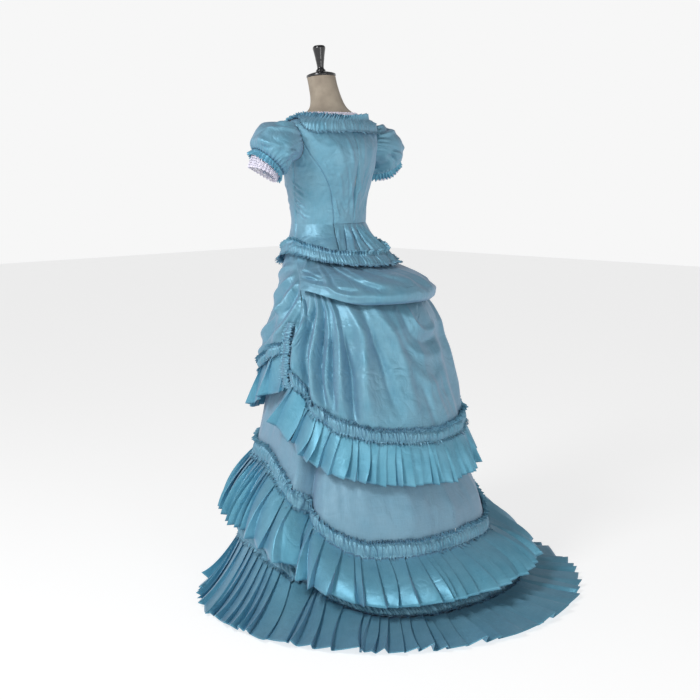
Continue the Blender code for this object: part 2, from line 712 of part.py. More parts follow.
def hanging_ruffle(name, grid, angles, hem, length, flare, fan, pleats):
    """A pleated ruffle that hangs from a panel's hem; its ends fan out past the panel."""
    count = pleats * 2
    first, last = angles[0], angles[-1]
    rows = [[], [], []]
    for j in range(count + 1):
        a = first + (last - first) * j / count
        top = on_lattice(grid, a, hem(a))
        top.z -= 0.0015
        way = (overskirt_point(a, hem(a), 0.1) - overskirt_point(a, hem(a), 0)) * 10
        aside = Vector((-math.sin(math.radians(a)), math.cos(math.radians(a)), 0))
        t = 2 * j / count - 1
        low = top + way * flare + aside * fan * (abs(t) ** 5) * (1 if t > 0 else -1)
        low.z -= length * (1 + 0.04 * math.sin((count - j) * 1.3))
        middle = top.lerp(low, 0.5) + way * flare * 0.05
        rows[0].append(low)
        rows[1].append(middle)
        rows[2].append(top)

    def depths(i, j):
        return (0.015, 0.009, 0.0)[i] * uneven(count - j) if j % 2 else 0.0
    strip(name, "taffeta", rows, False, -0.0014, FRILL, depths)


def make_apron():
    angles = [-185 + 190 * i / 20 for i in range(21)]
    angles[0], angles[-1] = nudge(-185, 0.9, 2), nudge(5, 0.9, -2)
    places = over_rows(hem_of_apron, angles, 2)
    wall("overskirt_apron", "taffeta", places, overskirt_point, 0.0, TAFFETA)
    grid = lattice(places, overskirt_point)
    hem_band("apron_band", grid, angles, hem_of_apron, 0.036)
    hanging_ruffle("apron_ruffle", grid, angles, hem_of_apron, 0.115, 0.022, 0.0, PLEATS["apron"])


def make_drape():
    left = [5, 8.5, 14, 20, 26, 33, 41, 50, 60, 70, 80, 90]
    angles = half_angles(left)
    angles[0], angles[-1] = nudge(5, 0.9, 2), nudge(175, 0.9, -2)
    places = over_rows(hem_of_drape, angles, 3)
    wall("overskirt_drape", "taffeta", places, overskirt_point, 0.0, TAFFETA)
    grid = lattice(places, overskirt_point)
    hem_band("drape_band", grid, angles, hem_of_drape, 0.042)
    hanging_ruffle("drape_ruffle", grid, angles, hem_of_drape, 0.118, 0.030, 0.055, PLEATS["drape"])


def hem_of_puff(angle):
    return 0.904 + 0.040 * (1 - ease((mirrored(angle) - PUFF_FROM) / 50))


def puff_point(angle, z, out):
    """The puff's outer face, with slanting folds gathered up to each side."""
    half = mirrored(angle)
    slant = (z - 0.904) * 100 - 0.05 * (half - PUFF_FROM)
    depth = 0.006 * ease((1.0 - z) / 0.03) * math.sin(math.radians(max(0.0, half - PUFF_FROM) * 1.0465))
    return ring_point(PUFF, angle, z, out + depth * (1 + math.cos(slant * 1.25)))


def make_puff():
    angles = half_angles([PUFF_FROM, 10, 17, 25, 34, 43, 53, 64, 77, 90])
    levels = (0.0, 0.011, 0.033, 0.058, 0.080, 0.096, 0.114, 0.145, 0.182)
    places = [[(a, hem_of_puff(a) + (1.086 - hem_of_puff(a)) * z / levels[-1]) for a in angles] for z in levels]
    wall("overskirt_puff", "taffeta", places, puff_point, 0.0, TAFFETA)


def make_peplum_frill():
    """A gathered frill over the lower edge of the peplum, all the way round."""
    middle = basque_columns(1.04)
    left = [-90 + i * 9.5 for i in range(15)]
    left = [a for a in left if a < middle[0] - 3]
    angles = left + middle + [180 - a for a in reversed(left[1:])]
    rows = []
    for up in (-0.016, 0.004, 0.026):
        rows.append([basque_point(a, hem_of_peplum(a) + up, 0.0) for a in angles])

    def depths(i, j):
        return (0.006, 0.003, 0.003)[i] * uneven(j) if j % 2 else 0.0
    strip("peplum_frill", "taffeta", rows, True, 0.0024, 0.0020, depths)


def neck_drop(angle):
    """How far below the neckline its frill reaches."""
    return 0.013 + 0.039 * ease((abs(math.sin(math.radians(angle))) - 0.12) / 0.55)


def make_neck_trim():
    count = PLEATS["neck"] * 2
    angles = [-90 + 360 * j / count for j in range(count)]
    rows = [[bodice_point(a, neck_height(a) - neck_drop(a) * t, TAFFETA) for a in angles] for t in (1, 0.5, 0.05)]

    def depths(i, j):
        return (0.0035, 0.0045, 0.0015)[i] * (1.0 if i == 1 else float(j % 2))
    strip("neckline_frill", "taffeta", rows, True, 0.0019, 0.0018, depths)
    rows = [[bodice_point(a, neck_height(a) + up, 0.0) for a in angles[::2]] for up in (0.0010, 0.0070, 0.0130)]
    strip("neckline_lace", "lace", rows, True, 0.0012, 0.0010, lambda i, j: 0.0)


def sleeve_frame(s):
    """Centre and two directions of the sleeve's ring: s is 0 at the armhole and 1 at the cuff."""
    lean, turn = math.radians(SLEEVE["cuff_lean"] * ease(s)), math.radians(SLEEVE["cuff_turn"] * ease(s))
    over = Vector((math.sin(lean) * math.cos(turn), -math.sin(lean) * math.sin(turn), math.cos(lean)))
    start, end = Vector((0.176, 0.052, 1.387)), Vector(SLEEVE["cuff_centre"])
    centre = start.lerp(end, s) + Vector((0.012, 0, 0.010)) * math.sin(math.pi * min(1, s))
    return centre, over, Vector((math.sin(turn), math.cos(turn), 0))


def sleeve_ring(s, radius, out=0.0, under=1.0):
    """A ring of the sleeve; under is how full its lower half is, out how far every other point stands out."""
    centre, over, back = sleeve_frame(s)
    ring = []
    for j in range(SLEEVE["columns"]):
        turn = math.radians(-360 * j / SLEEVE["columns"])
        size = radius + out * (j % 2)
        lift = math.sin(turn) * (under if math.sin(turn) < 0 else 1.0)
        ring.append(centre + over * size * lift + back * size * math.cos(turn))
    return ring


def opposite(points):
    return [[Vector((-p.x, p.y, p.z)) for p in reversed(row)] for row in points]


def both_sides(name, kind, inner, outer):
    grid_wall(f"{name}_left", kind, outer, inner, True)
    grid_wall(f"{name}_right", kind, opposite(outer), opposite(inner), True)


def make_sleeves():
    """A short puffed sleeve with a band, a frill and a lace edge at its cuff."""
    head = []
    for j in range(SLEEVE["columns"]):
        angle, z = armhole(-360 * j / SLEEVE["columns"])
        head.append(bodice_point(angle * 0.965, ARMHOLE["centre_z"] + (z - ARMHOLE["centre_z"]) * 0.965, TAFFETA))
    shape = ((0.12, 0.062, 0.88), (0.36, 0.075, 0.80), (0.64, 0.078, 0.80), (0.86, 0.070, 0.84))
    rows = [sleeve_ring(1.0, SLEEVE["cuff_radius"])]
    rows += [sleeve_ring(s, size, 0.004, under) for s, size, under in shape[::-1]]
    rows.append(head)
    ways = normals(rows, True)
    inner = [[p - w * TAFFETA for p, w in zip(row, way)] for row, way in zip(rows[:-1], ways[:-1])]
    inner.append([centre_towards(head, j, TAFFETA) for j in range(SLEEVE["columns"])])
    both_sides("sleeve", "taffeta", inner, rows)
    middle, over, back = sleeve_frame(1.0)
    axis = back.cross(over)
    cuff = SLEEVE["cuff_radius"]
    for name, kind, radius, drops, spread, thick in (
        ("cuff_frill", "taffeta", cuff - 0.001, (0.0008, 0.012, 0.030), (0.0, 0.004, 0.011), 0.0018),
        ("cuff_lace", "lace", cuff - 0.0035, (0.0008, 0.038), (0.0, 0.008), 0.0010),
    ):
        rings = [[p + axis * drop for p in sleeve_ring(1.0, radius + wide, wide * 0.7)]
                 for drop, wide in zip(drops, spread)][::-1]
        inner = [[p - (p - middle - axis * (p - middle).dot(axis)).normalized() * thick for p in ring]
                 for ring in rings]
        both_sides(name, kind, inner, rings)


def centre_towards(ring, j, distance):
    middle = sum(ring, Vector()) / len(ring)
    return ring[j] + (middle - ring[j]).normalized() * distance


def turned(name, kind, profile, place, steps_round=18):
    """A closed solid of revolution from (radius, height) pairs, bottom to top."""
    mesh = bmesh.new()
    rings = []
    for radius, height in profile:
        if radius == 0:
            rings.append([mesh.verts.new(place @ Vector((0, 0, height)))])
            continue
        rings.append([mesh.verts.new(place @ Vector((
            radius * math.cos(2 * math.pi * j / steps_round), radius * math.sin(2 * math.pi * j / steps_round),
            height))) for j in range(steps_round)])
    for low, top in zip(rings, rings[1:]):
        for j in range(steps_round):
            k = (j + 1) % steps_round
            if len(low) == 1:
                mesh.faces.new((low[0], top[k], top[j]))
            elif len(top) == 1:
                mesh.faces.new((low[j], low[k], top[0]))
            else:
                mesh.faces.new((low[j], low[k], top[k], top[j]))
    bmesh.ops.recalc_face_normals(mesh, faces=mesh.faces)
    data = bpy.data.meshes.new(name)
    mesh.to_mesh(data)
    mesh.free()
    data.materials.append(material(kind))
    data.shade_smooth()
    data.set_sharp_from_angle(angle=math.radians(35))
    made = bpy.data.objects.new(name, data)
    bpy.context.scene.collection.objects.link(made)
    return made


def form_lattice():
    """The torso's grid; it is drawn in a little where the cloth bends sharply over it."""
    heights = [0.88, 0.895, 0.95, 1.01] + [1.06 + 0.0232 * i for i in range(16)]
    heights += [1.434, 1.4445, 1.455, 1.464, 1.476, 1.488, 1.505, 1.53, 1.56, 1.594]
    grid = []
    for z in heights:
        row = []
        for j in range(FORM_COLUMNS + 1):
            angle = -90 + 360 * j / FORM_COLUMNS
            tuck = 0.90 if z < 0.89 else 1.0
            if 1.40 < z < neck_height(angle) - 0.0005:
                tuck = 0.965 - 0.035 * abs(math.sin(math.radians(2 * angle))) if 0 < angle < 180 else 0.965
            elif 1.24 < z <= 1.40 and not 0 < angle < 180:
                tuck = 0.986
            point = body(angle, z)
            centre = along(FORM, z)[0]
            row.append((angle, z, Vector((point.x * tuck, centre + (point.y - centre) * tuck, point.z))))
        grid.append(row)
    return grid


def make_form():
    """The dress form: torso with its neck, black cap and finial, and a pole on a round foot."""
    mesh = bmesh.new()
    rings = [[mesh.verts.new(spot[2]) for spot in row[:-1]] for row in form_lattice()]
    for low, top in zip(rings, rings[1:]):
        for j in range(FORM_COLUMNS):
            k = (j + 1) % FORM_COLUMNS
            mesh.faces.new((low[j], low[k], top[k], top[j]))
    mesh.faces.new(rings[0][::-1])
    mesh.faces.new(rings[-1])
    bmesh.ops.recalc_face_normals(mesh, faces=mesh.faces)
    data = bpy.data.meshes.new("form_torso")
    mesh.to_mesh(data)
    mesh.free()
    data.materials.append(material("calico"))
    data.shade_smooth()
    data.set_sharp_from_angle(angle=math.radians(40))
    bpy.context.scene.collection.objects.link(bpy.data.objects.new("form_torso", data))

    neck_top = Matrix.Translation((0, 0.008, 1.594)) @ Matrix.Rotation(math.radians(NECK_LEAN), 4, "X")
    turned("form_cap", "ebonised", ((0, 0.0004), (0.0455, 0.0004), (0.0470, 0.003), (0.0470, 0.008),
                                    (0.0440, 0.0125), (0.028, 0.0160), (0.0145, 0.0175), (0, 0.0175)), neck_top)
    turned("form_finial", "ebonised", (
        (0, 0.0179), (0.0145, 0.0179), (0.0150, 0.022), (0.0105, 0.027), (0.0085, 0.036), (0.0095, 0.048),
        (0.0135, 0.064), (0.0175, 0.078), (0.0200, 0.087), (0.0200, 0.093), (0.0160, 0.0985), (0, 0.0990),
    ), neck_top, 12)
    upright = Matrix.Identity(4)
    turned("form_pole", "iron", ((0, FOOT_HEIGHT + 0.0144), (POLE_RADIUS, FOOT_HEIGHT + 0.0144),
                                 (POLE_RADIUS, 0.8796), (0, 0.8796)), upright, 16)
    turned("form_foot", "iron", ((0, 0), (FOOT_RADIUS, 0), (FOOT_RADIUS, 0.008), (FOOT_RADIUS - 0.006, 0.014),
                                 (0.050, FOOT_HEIGHT), (0.026, FOOT_HEIGHT + 0.014), (0, FOOT_HEIGHT + 0.014)),
           upright, 20)


clear_scene()
make_form()
make_bodice()
make_basque()
make_neck_trim()
make_sleeves()
make_peplum_frill()
make_puff()
make_drape()
make_apron()
make_underskirt()
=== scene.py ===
import math

import bpy
import numpy as np
from mathutils import Matrix, Vector


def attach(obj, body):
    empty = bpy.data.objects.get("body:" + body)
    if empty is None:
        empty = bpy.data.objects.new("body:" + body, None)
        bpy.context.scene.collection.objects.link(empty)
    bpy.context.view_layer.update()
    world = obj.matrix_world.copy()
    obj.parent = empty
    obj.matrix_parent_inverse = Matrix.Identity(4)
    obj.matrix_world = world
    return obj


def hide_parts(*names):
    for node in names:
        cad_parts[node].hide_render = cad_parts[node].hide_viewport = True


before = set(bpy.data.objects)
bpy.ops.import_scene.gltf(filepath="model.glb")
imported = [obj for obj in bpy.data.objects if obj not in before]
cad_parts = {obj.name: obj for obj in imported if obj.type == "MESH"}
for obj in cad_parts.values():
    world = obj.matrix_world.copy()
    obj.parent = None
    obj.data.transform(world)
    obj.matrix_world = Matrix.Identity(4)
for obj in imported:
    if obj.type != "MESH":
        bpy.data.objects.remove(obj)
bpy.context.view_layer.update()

# the sizes of the cut, as the model has them, in metres and degrees
waistZ = 1.137
wall = 0.0016          # the model's cloth
ease = 0.0016          # between the form and the bodice
seamGap = 0.0003
frontEase = 0.0035     # more room at the front of the chest
sideSeam = -9.0
armpit = -97.0         # the end of the side seam, as a turn round the armhole
puffFrom = 4.0         # the puff's edge at the hip
neckLean = 6.0
backPrincess = ((1.010, 50.0), (1.070, 54.0), (1.137, 57.0), (1.214, 54.5), (1.262, 48.0), (1.310, 37.5),
                (1.355, 25.5), (1.387, 20.0))
frontPrincess = ((0.975, -58.0), (1.070, -61.0), (1.137, -62.0), (1.210, -58.0), (1.275, -52.0),
                 (1.330, -40.0), (1.365, -30.0), (1.387, -24.0))
armholeCut = {"centreZ": 1.387, "halfHeight": 0.055, "back": 20.0, "front": 24.0}
neckline = {"backZ": 1.465, "frontZ": 1.405}

# sections: height, centre, half width, depth to the front, depth to the back
formRings = (
    (0.880, 0.020, 0.134, 0.086, 0.096), (0.930, 0.024, 0.141, 0.089, 0.100),
    (1.000, 0.030, 0.140, 0.092, 0.100), (1.060, 0.034, 0.134, 0.098, 0.102),
    (1.100, 0.036, 0.129, 0.103, 0.105), (1.137, 0.038, 0.1265, 0.104, 0.109),
    (1.208, 0.037, 0.131, 0.112, 0.113), (1.271, 0.042, 0.143, 0.136, 0.122),
    (1.330, 0.050, 0.158, 0.140, 0.122), (1.380, 0.055, 0.171, 0.118, 0.110),
    (1.420, 0.055, 0.177, 0.096, 0.090), (1.445, 0.052, 0.170, 0.078, 0.086),
    (1.465, 0.048, 0.128, 0.064, 0.082), (1.482, 0.043, 0.088, 0.054, 0.066),
    (1.500, 0.037, 0.064, 0.050, 0.055), (1.530, 0.027, 0.050, 0.047, 0.050),
    (1.565, 0.016, 0.0455, 0.045, 0.046), (1.594, 0.008, 0.0450, 0.045, 0.045),
)
peplumRings = (
    (0.970, 0.086, 0.206, 0.198, 0.205), (1.010, 0.078, 0.190, 0.183, 0.186),
    (1.040, 0.072, 0.176, 0.168, 0.158), (1.066, 0.066, 0.164, 0.152, 0.138),
    (1.100, 0.050, 0.142, 0.124, 0.120), (1.137, 0.038, 0.1293, 0.1068, 0.1118),
)
peplumHem = ((-90, 0.992), (-50, 1.030), (-12, 1.060), (20, 1.044), (50, 1.027), (90, 1.020))
underRings = (
    (0.020, 0.325, 0.450, 0.470, 0.405), (0.040, 0.315, 0.442, 0.458, 0.372),
    (0.060, 0.285, 0.436, 0.440, 0.374), (0.100, 0.240, 0.425, 0.408, 0.388),
    (0.150, 0.210, 0.415, 0.386, 0.390), (0.200, 0.190, 0.405, 0.374, 0.392),
    (0.246, 0.181, 0.392, 0.366, 0.391), (0.295, 0.176, 0.379, 0.358, 0.381),
    (0.347, 0.169, 0.360, 0.346, 0.361), (0.400, 0.167, 0.336, 0.326, 0.334),
    (0.460, 0.165, 0.319, 0.318, 0.318), (0.530, 0.162, 0.302, 0.300, 0.300),
    (0.600, 0.145, 0.284, 0.268, 0.288), (0.700, 0.130, 0.256, 0.240, 0.262),
    (0.830, 0.108, 0.222, 0.202, 0.232), (0.930, 0.085, 0.188, 0.168, 0.196),
    (1.000, 0.060, 0.164, 0.138, 0.150), (1.060, 0.042, 0.1430, 0.1145, 0.1160),
    (1.095, 0.0356, 0.1324, 0.1052, 0.1071),
)
overRings = (
    (0.440, 0.176, 0.337, 0.336, 0.338), (0.526, 0.179, 0.321, 0.319, 0.323),
    (0.616, 0.168, 0.304, 0.302, 0.306), (0.679, 0.157, 0.295, 0.294, 0.296),
    (0.740, 0.146, 0.285, 0.283, 0.287), (0.785, 0.142, 0.273, 0.271, 0.275),
    (0.833, 0.146, 0.263, 0.259, 0.265), (0.891, 0.140, 0.240, 0.234, 0.243),
    (0.955, 0.105, 0.212, 0.196, 0.212), (1.000, 0.070, 0.178, 0.160, 0.152),
    (1.050, 0.045, 0.152, 0.128, 0.122), (1.090, 0.037, 0.1370, 0.1100, 0.1125),
)
apronHem = ((-90, 0.640), (-45, 0.665), (-12, 0.735), (6, 0.760))
drapeHem = ((-4, 0.735), (8, 0.655), (18, 0.585), (32, 0.535), (55, 0.505), (90, 0.490))
puffRings = (
    (0.904, 0.146, 0.246, 0.246, 0.248), (0.915, 0.147, 0.252, 0.252, 0.260),
    (0.937, 0.144, 0.251, 0.251, 0.264), (0.962, 0.130, 0.236, 0.236, 0.256),
    (0.984, 0.110, 0.217, 0.217, 0.234), (1.000, 0.087, 0.200, 0.200, 0.196),
    (1.018, 0.066, 0.180, 0.180, 0.156), (1.036, 0.056, 0.169, 0.169, 0.142),
    (1.060, 0.045, 0.156, 0.156, 0.126), (1.086, 0.038, 0.1412, 0.1412, 0.1157),
)


def smooth(t):
    t = np.clip(t, 0.0, 1.0)
    return t * t * (3 - 2 * t)


def along(rows, x):
    # values of a table at x, its first column, on a smooth curve through the rows
    rows = np.array(sorted(rows), float)
    at, values = rows[:, 0], rows[:, 1:]
    x = np.clip(np.asarray(x, float), at[0], at[-1])
    i = np.clip(np.searchsorted(at, x, side="right") - 1, 0, len(at) - 2)
    rise = np.diff(values, axis=0) / np.diff(at)[:, None]
    slope = np.empty_like(values)
    slope[0], slope[-1] = rise[0], rise[-1]
    slope[1:-1] = (values[2:] - values[:-2]) / (at[2:] - at[:-2])[:, None]
    span = np.diff(at)[i][..., None]
    t = (x - at[i])[..., None] / span
    found = ((2 * t**3 - 3 * t**2 + 1) * values[i] + (t**3 - 2 * t**2 + t) * span * slope[i]
             + (3 * t**2 - 2 * t**3) * values[i + 1] + (t**3 - t**2) * span * slope[i + 1])
    return found[..., 0] if values.shape[1] == 1 else found


def mirrored(angle):
    angle = (np.asarray(angle, float) + 90.0) % 360.0 - 90.0
    return np.where(angle <= 90.0, angle, 180.0 - angle)


def ringPoint(rings, angle, z, out=0.0):
    angle, z, out = np.broadcast_arrays(np.asarray(angle, float), z, out)
    centre, side, front, back = np.moveaxis(along(rings, z), -1, 0)
    c, s = np.cos(np.radians(angle)), np.sin(np.radians(angle))
    depth = np.where(s > 0, back, front)
    x, y = c * depth, s * side
    size = np.hypot(x, y)
    return np.stack((side * c + x / size * out, centre + depth * s + y / size * out, z), -1)


def unit(ways):
    return ways / np.maximum(np.linalg.norm(ways, axis=-1, keepdims=True), 1e-12)


def offSurface(place, angle, z, out):
    # a point of a smooth surface place(angle, z), moved out along the surface's normal
    turned = place(angle + 0.5, z) - place(angle - 0.5, z)
    risen = place(angle, z + 0.002) - place(angle, z - 0.002)
    return place(angle, z) + unit(np.cross(turned, risen)) * np.asarray(out)[..., None]


# where the neck starts to lean, where the chest gains room and how the waist turns into the peplum
neckBend = {"from": 1.500, "over": 0.065}
chestEase = {"from": 1.395, "over": 0.03, "spread": 2.2}
waistBlend = {"above": 0.0021, "from": 0.003, "over": 0.006}


def formPoint(angle, z):
    point = ringPoint(formRings, angle, z)
    centre = along(formRings, z)[..., 0]
    lean = math.tan(math.radians(neckLean)) * smooth((np.asarray(z) - neckBend["from"]) / neckBend["over"])
    point[..., 2] += (point[..., 1] - centre) * lean
    return point


def bodiceInner(angle, z):
    front = smooth(-chestEase["spread"] * np.sin(np.radians(angle)))
    away = ease + frontEase * front * smooth((z - chestEase["from"]) / chestEase["over"])
    return offSurface(formPoint, angle, z, away)


def bodicePoint(angle, z, out):
    # the form's surface, moved out, down to the waist, and the peplum's rings below it
    angle, z, out = (np.array(v, float) for v in np.broadcast_arrays(angle, z, out))
    turn = waistZ + waistBlend["above"]
    upper = offSurface(bodiceInner, angle, np.maximum(z, turn), out)
    upper[..., 2] += np.minimum(z - turn, 0)
    lower = ringPoint(peplumRings, angle, z, out - wall)
    share = smooth((z - waistZ + waistBlend["from"]) / waistBlend["over"])[..., None]
    return upper * share + lower * (1 - share)


# grooves of the underskirt where its side laps over the train: angle, width and share of the depth
lapGrooves = ((17.0, 4.5, -1.0), (11.8, 3.0, 0.44), (17.8, 2.6, -0.30))
skirtLook = {"lapDepth": 0.032, "waveDepth": 0.004, "waves": 11}


def underskirtPoint(angle, z, out=0.0):
    half = mirrored(angle)
    depth = skirtLook["lapDepth"] * smooth((0.62 - z) / 0.22) * smooth(z / 0.12 + 0.25)
    wave = skirtLook["waveDepth"] * smooth((0.60 - z) / 0.25) * np.cos(np.radians(half) * skirtLook["waves"])
    laps = sum(share * np.exp(-((half - at) / width) ** 2) for at, width, share in lapGrooves)
    return ringPoint(underRings, angle, z, out + wave + laps * depth)


# the solids' folds of the overskirt: angle and how far out
drapeFolds = (
    (-6, 0.0), (5, 0.004), (8.5, 0.014), (14, 0.0), (20, 0.015), (26, 0.001), (33, 0.014), (41, 0.0),
    (50, 0.012), (60, 0.0), (70, 0.009), (80, 0.001), (90, 0.009),
)
apronFolds = (
    (-90, 0.008), (-76, 0.0), (-61.5, 0.010), (-47, 0.0), (-33, 0.012), (-23.5, 0.0), (-14, 0.014),
    (-4.5, 0.001), (6, 0.003),
)


def overskirtPoint(angle, z, out=0.0):
    half = mirrored(angle)
    fall = smooth((0.90 - z) / 0.16) * (0.30 + 0.70 * smooth((z - 0.46) / 0.16))      # of the drape's folds
    rise = smooth((1.00 - z) / 0.14) * (0.30 + 0.70 * smooth((z - 0.60) / 0.16))      # of the apron's folds
    swell = np.where(half > 5, along(drapeFolds, half) * fall, along(apronFolds, half) * rise)
    return ringPoint(overRings, angle, z, out + swell)


def outward(point, angle, z):
    # the level way out from a surface
    return (point(angle, z, 0.1) - point(angle, z)) * 10


# patterns of cloth: unevenness, creases, gathers and pleats

mm = 0.001
rumpleLook = {"waves": 7, "pitch": (0.7, 1.9), "total": 4.0}
creaseLook = {"steps": 6, "fade": 3.2, "ends": 0.12, "narrow": 0.75, "spread": 0.5}


def rumple(angle, z, radius, size, seed):
    # soft unevenness of cloth, between about -1 and 1, with bumps of a size in metres
    x = np.radians(angle) * radius
    chance = np.random.default_rng(seed)
    total = 0.0
    for _ in range(rumpleLook["waves"]):
        way, push = chance.uniform(0, 2 * math.pi, 2)
        pitch = 2 * math.pi / (size * chance.uniform(*rumpleLook["pitch"]))
        total = total + np.sin((x * math.cos(way) + z * math.sin(way)) * pitch + push)
    return total / rumpleLook["total"]


def creased(angle, z, creases, radius):
    # soft ridges and troughs along drawn paths of (angle, height), each with its width and its depth in mm
    x, y = np.radians(angle) * radius, z
    total = np.zeros(np.broadcast(x, y).shape)
    for path, width, depth in creases:
        marks = np.array(path, float)
        steps = np.linspace(0, len(marks) - 1, creaseLook["steps"] * (len(marks) - 1) + 1)
        line = along([(i, *p) for i, p in enumerate(marks)], steps)
        px, py = np.radians(line[:, 0]) * radius, line[:, 1]
        best, share = np.full(total.shape, np.inf), np.zeros(total.shape)
        for k in range(len(steps) - 1):
            dx, dy = px[k + 1] - px[k], py[k + 1] - py[k]
            t = np.clip(((x - px[k]) * dx + (y - py[k]) * dy) / (dx * dx + dy * dy + 1e-12), 0, 1)
            apart = np.hypot(x - px[k] - dx * t, y - py[k] - dy * t)
            share = np.where(apart < best, (k + t) / (len(steps) - 1), share)
            best = np.minimum(apart, best)
        fade = smooth(np.minimum(share, 1 - share) * creaseLook["fade"] + creaseLook["ends"])
        wide = width * mm * (creaseLook["narrow"] + creaseLook["spread"] * share)
        total += depth * mm * fade * np.exp(-(best / wide) ** 2)
    return total


def mirroredCreases(creases, scale, shift, about=180.0, rise=0.004, wider=1.06):
    # the same creases on the other side of the body, a little different
    return [([(about - a - shift, z + rise) for a, z in path], width * wider, depth * scale)
            for path, width, depth in creases]


def shares(count, uneven, seed):
    # boundaries from 0 to 1 between gathers or pleats of uneven widths
    widths = 1 + uneven * np.random.default_rng(seed).uniform(-1, 1, count)
    return np.concatenate(([0.0], np.cumsum(widths) / widths.sum()))


def gridNormals(points, closed):
    if closed:
        turned = np.roll(points, -1, axis=1) - np.roll(points, 1, axis=1)
    else:
        turned = np.gradient(points, axis=1)
    return unit(np.cross(turned, np.gradient(points, axis=0)))


cuts = {}        # piece name: width, length and area of its cloth before it was sewn up


def clothFrom(name, points, material, closed=False, thick=0.0, gaps=None, crisp=70):
    # a sheet over rows (going up) and columns (anticlockwise) of points; gaps marks the cells that are open
    rows, columns = points.shape[:2]
    ring = np.concatenate((points, points[:, :1]), axis=1) if closed else points
    i, j = np.meshgrid(np.arange(rows - 1), np.arange(ring.shape[1] - 1), indexing="ij")
    k = (j + 1) % columns
    quads = np.stack((i * columns + j, i * columns + k, (i + 1) * columns + k, (i + 1) * columns + j), -1)
    quads = quads.reshape(-1, 4)
    across = np.linalg.norm(np.diff(ring, axis=1), axis=2)
    down = np.linalg.norm(np.diff(points, axis=0), axis=2)
    u = np.concatenate(([0.0], np.cumsum(across.mean(axis=0))))
    v = np.concatenate(([0.0], np.cumsum(down.mean(axis=1))))
    around = ((0, 0), (1, 0), (1, 1), (0, 1))
    corners = np.stack([np.stack((u[j + right], v[i + up]), -1) for right, up in around], 2).reshape(-1, 4, 2)
    low, high = ring[:-1], ring[1:]
    area = (np.linalg.norm(np.cross(low[:, 1:] - low[:, :-1], high[:, :-1] - low[:, :-1]), axis=2)
            + np.linalg.norm(np.cross(low[:, 1:] - high[:, 1:], high[:, :-1] - high[:, 1:]), axis=2)) / 2
    if gaps is not None:
        keep = ~gaps.reshape(-1)
        quads, corners, area = quads[keep], corners[keep], area.reshape(-1)[keep]
    cuts[name] = (float(across.sum(axis=1).max()), float(down.sum(axis=0).max()), float(area.sum()))
    mesh = bpy.data.meshes.new(name)
    mesh.from_pydata(points.reshape(-1, 3), [], quads)
    mesh.uv_layers.new(name="cut").data.foreach_set("uv", corners.reshape(-1))
    mesh.materials.append(material)
    mesh.shade_smooth()
    mesh.set_sharp_from_angle(angle=math.radians(crisp))
    piece = bpy.data.objects.new(name, mesh)
    bpy.context.scene.collection.objects.link(piece)
    if thick:
        shell = piece.modifiers.new("clothThickness", "SOLIDIFY")
        shell.thickness, shell.offset, shell.use_even_offset = thick, -1.0, False
    return piece


def standsFor(piece, nodes):
    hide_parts(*nodes)
    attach(piece, "root")


def sewn(piece, nodes):
    # the piece stands for its CAD nodes and rides on the form
    standsFor(piece, nodes)


def srgb(code):
    parts = [int(code[i:i + 2], 16) / 255 for i in (1, 3, 5)]
    return tuple(p / 12.92 if p <= 0.04045 else ((p + 0.055) / 1.055) ** 2.4 for p in parts) + (1.0,)


def addNode(tree, kind, settings=None, output=0):
    # settings are a node's properties, the values of its inputs and the sockets that feed them
    node = tree.nodes.new(kind)
    for key, value in (settings or {}).items():
        if isinstance(value, bpy.types.NodeSocket):
            tree.links.new(value, node.inputs[key])
        elif isinstance(key, int) or key in node.inputs:
            node.inputs[key].default_value = value
        else:
            setattr(node, key, value)
    return node.outputs[output]


def noise(tree, vector, scale, detail, **others):
    return addNode(tree, "ShaderNodeTexNoise", {"Vector": vector, "Scale": scale, "Detail": detail, **others})


def mapped(tree, value, low, high, start=0.0, end=1.0):
    # the value spread out, so that start becomes low and end becomes high
    return addNode(tree, "ShaderNodeMapRange", {"Value": value, "From Min": start, "From Max": end,
                                                "To Min": low, "To Max": high})


def mixed(tree, share, first, second, blend="MIX"):
    settings = {"data_type": "RGBA", "blend_type": blend, 0: share, 6: first, 7: second}
    return addNode(tree, "ShaderNodeMix", settings, output=2)


def worked(tree, operation, *values):
    return addNode(tree, "ShaderNodeMath", {"operation": operation, **dict(enumerate(values))})


def bumped(tree, height, strength, distance, **normal):
    settings = {"Height": height, "Strength": strength, "Distance": distance, **normal}
    return addNode(tree, "ShaderNodeBump", settings)


def startMaterial(name, settings):
    made = bpy.data.materials.new(name)
    made.use_nodes = True
    tree = made.node_tree
    shader = tree.nodes["Principled BSDF"]
    for key, value in settings.items():
        shader.inputs[key].default_value = value
    return made, tree, shader


def feed(tree, shader, sockets):
    for key, socket in sockets.items():
        tree.links.new(socket, shader.inputs[key])


# polyester taffeta woven with a teal warp and a lilac weft: crisp folds, a soft satin shine from the shader,
# and a lilac sheen painted into the colour where the cloth turns away from view
# the weft colour is also the painted lilac sheen that the base colour turns to at glancing angles
taffetaLook = {"warp": "#6BA1B5", "weft": "#9AABC8", "deep": "#39869F", "metallic": 0.34, "specular": 0.50,
               "roughness": 0.47, "threadMm": 1.1, "slubMm": 46.0, "blotchMm": 70.0, "bumpMm": 0.20,
               "buckle": 0.65, "buckleMm": 11.0, "crumple": 0.50, "crumpleMm": 1.3}


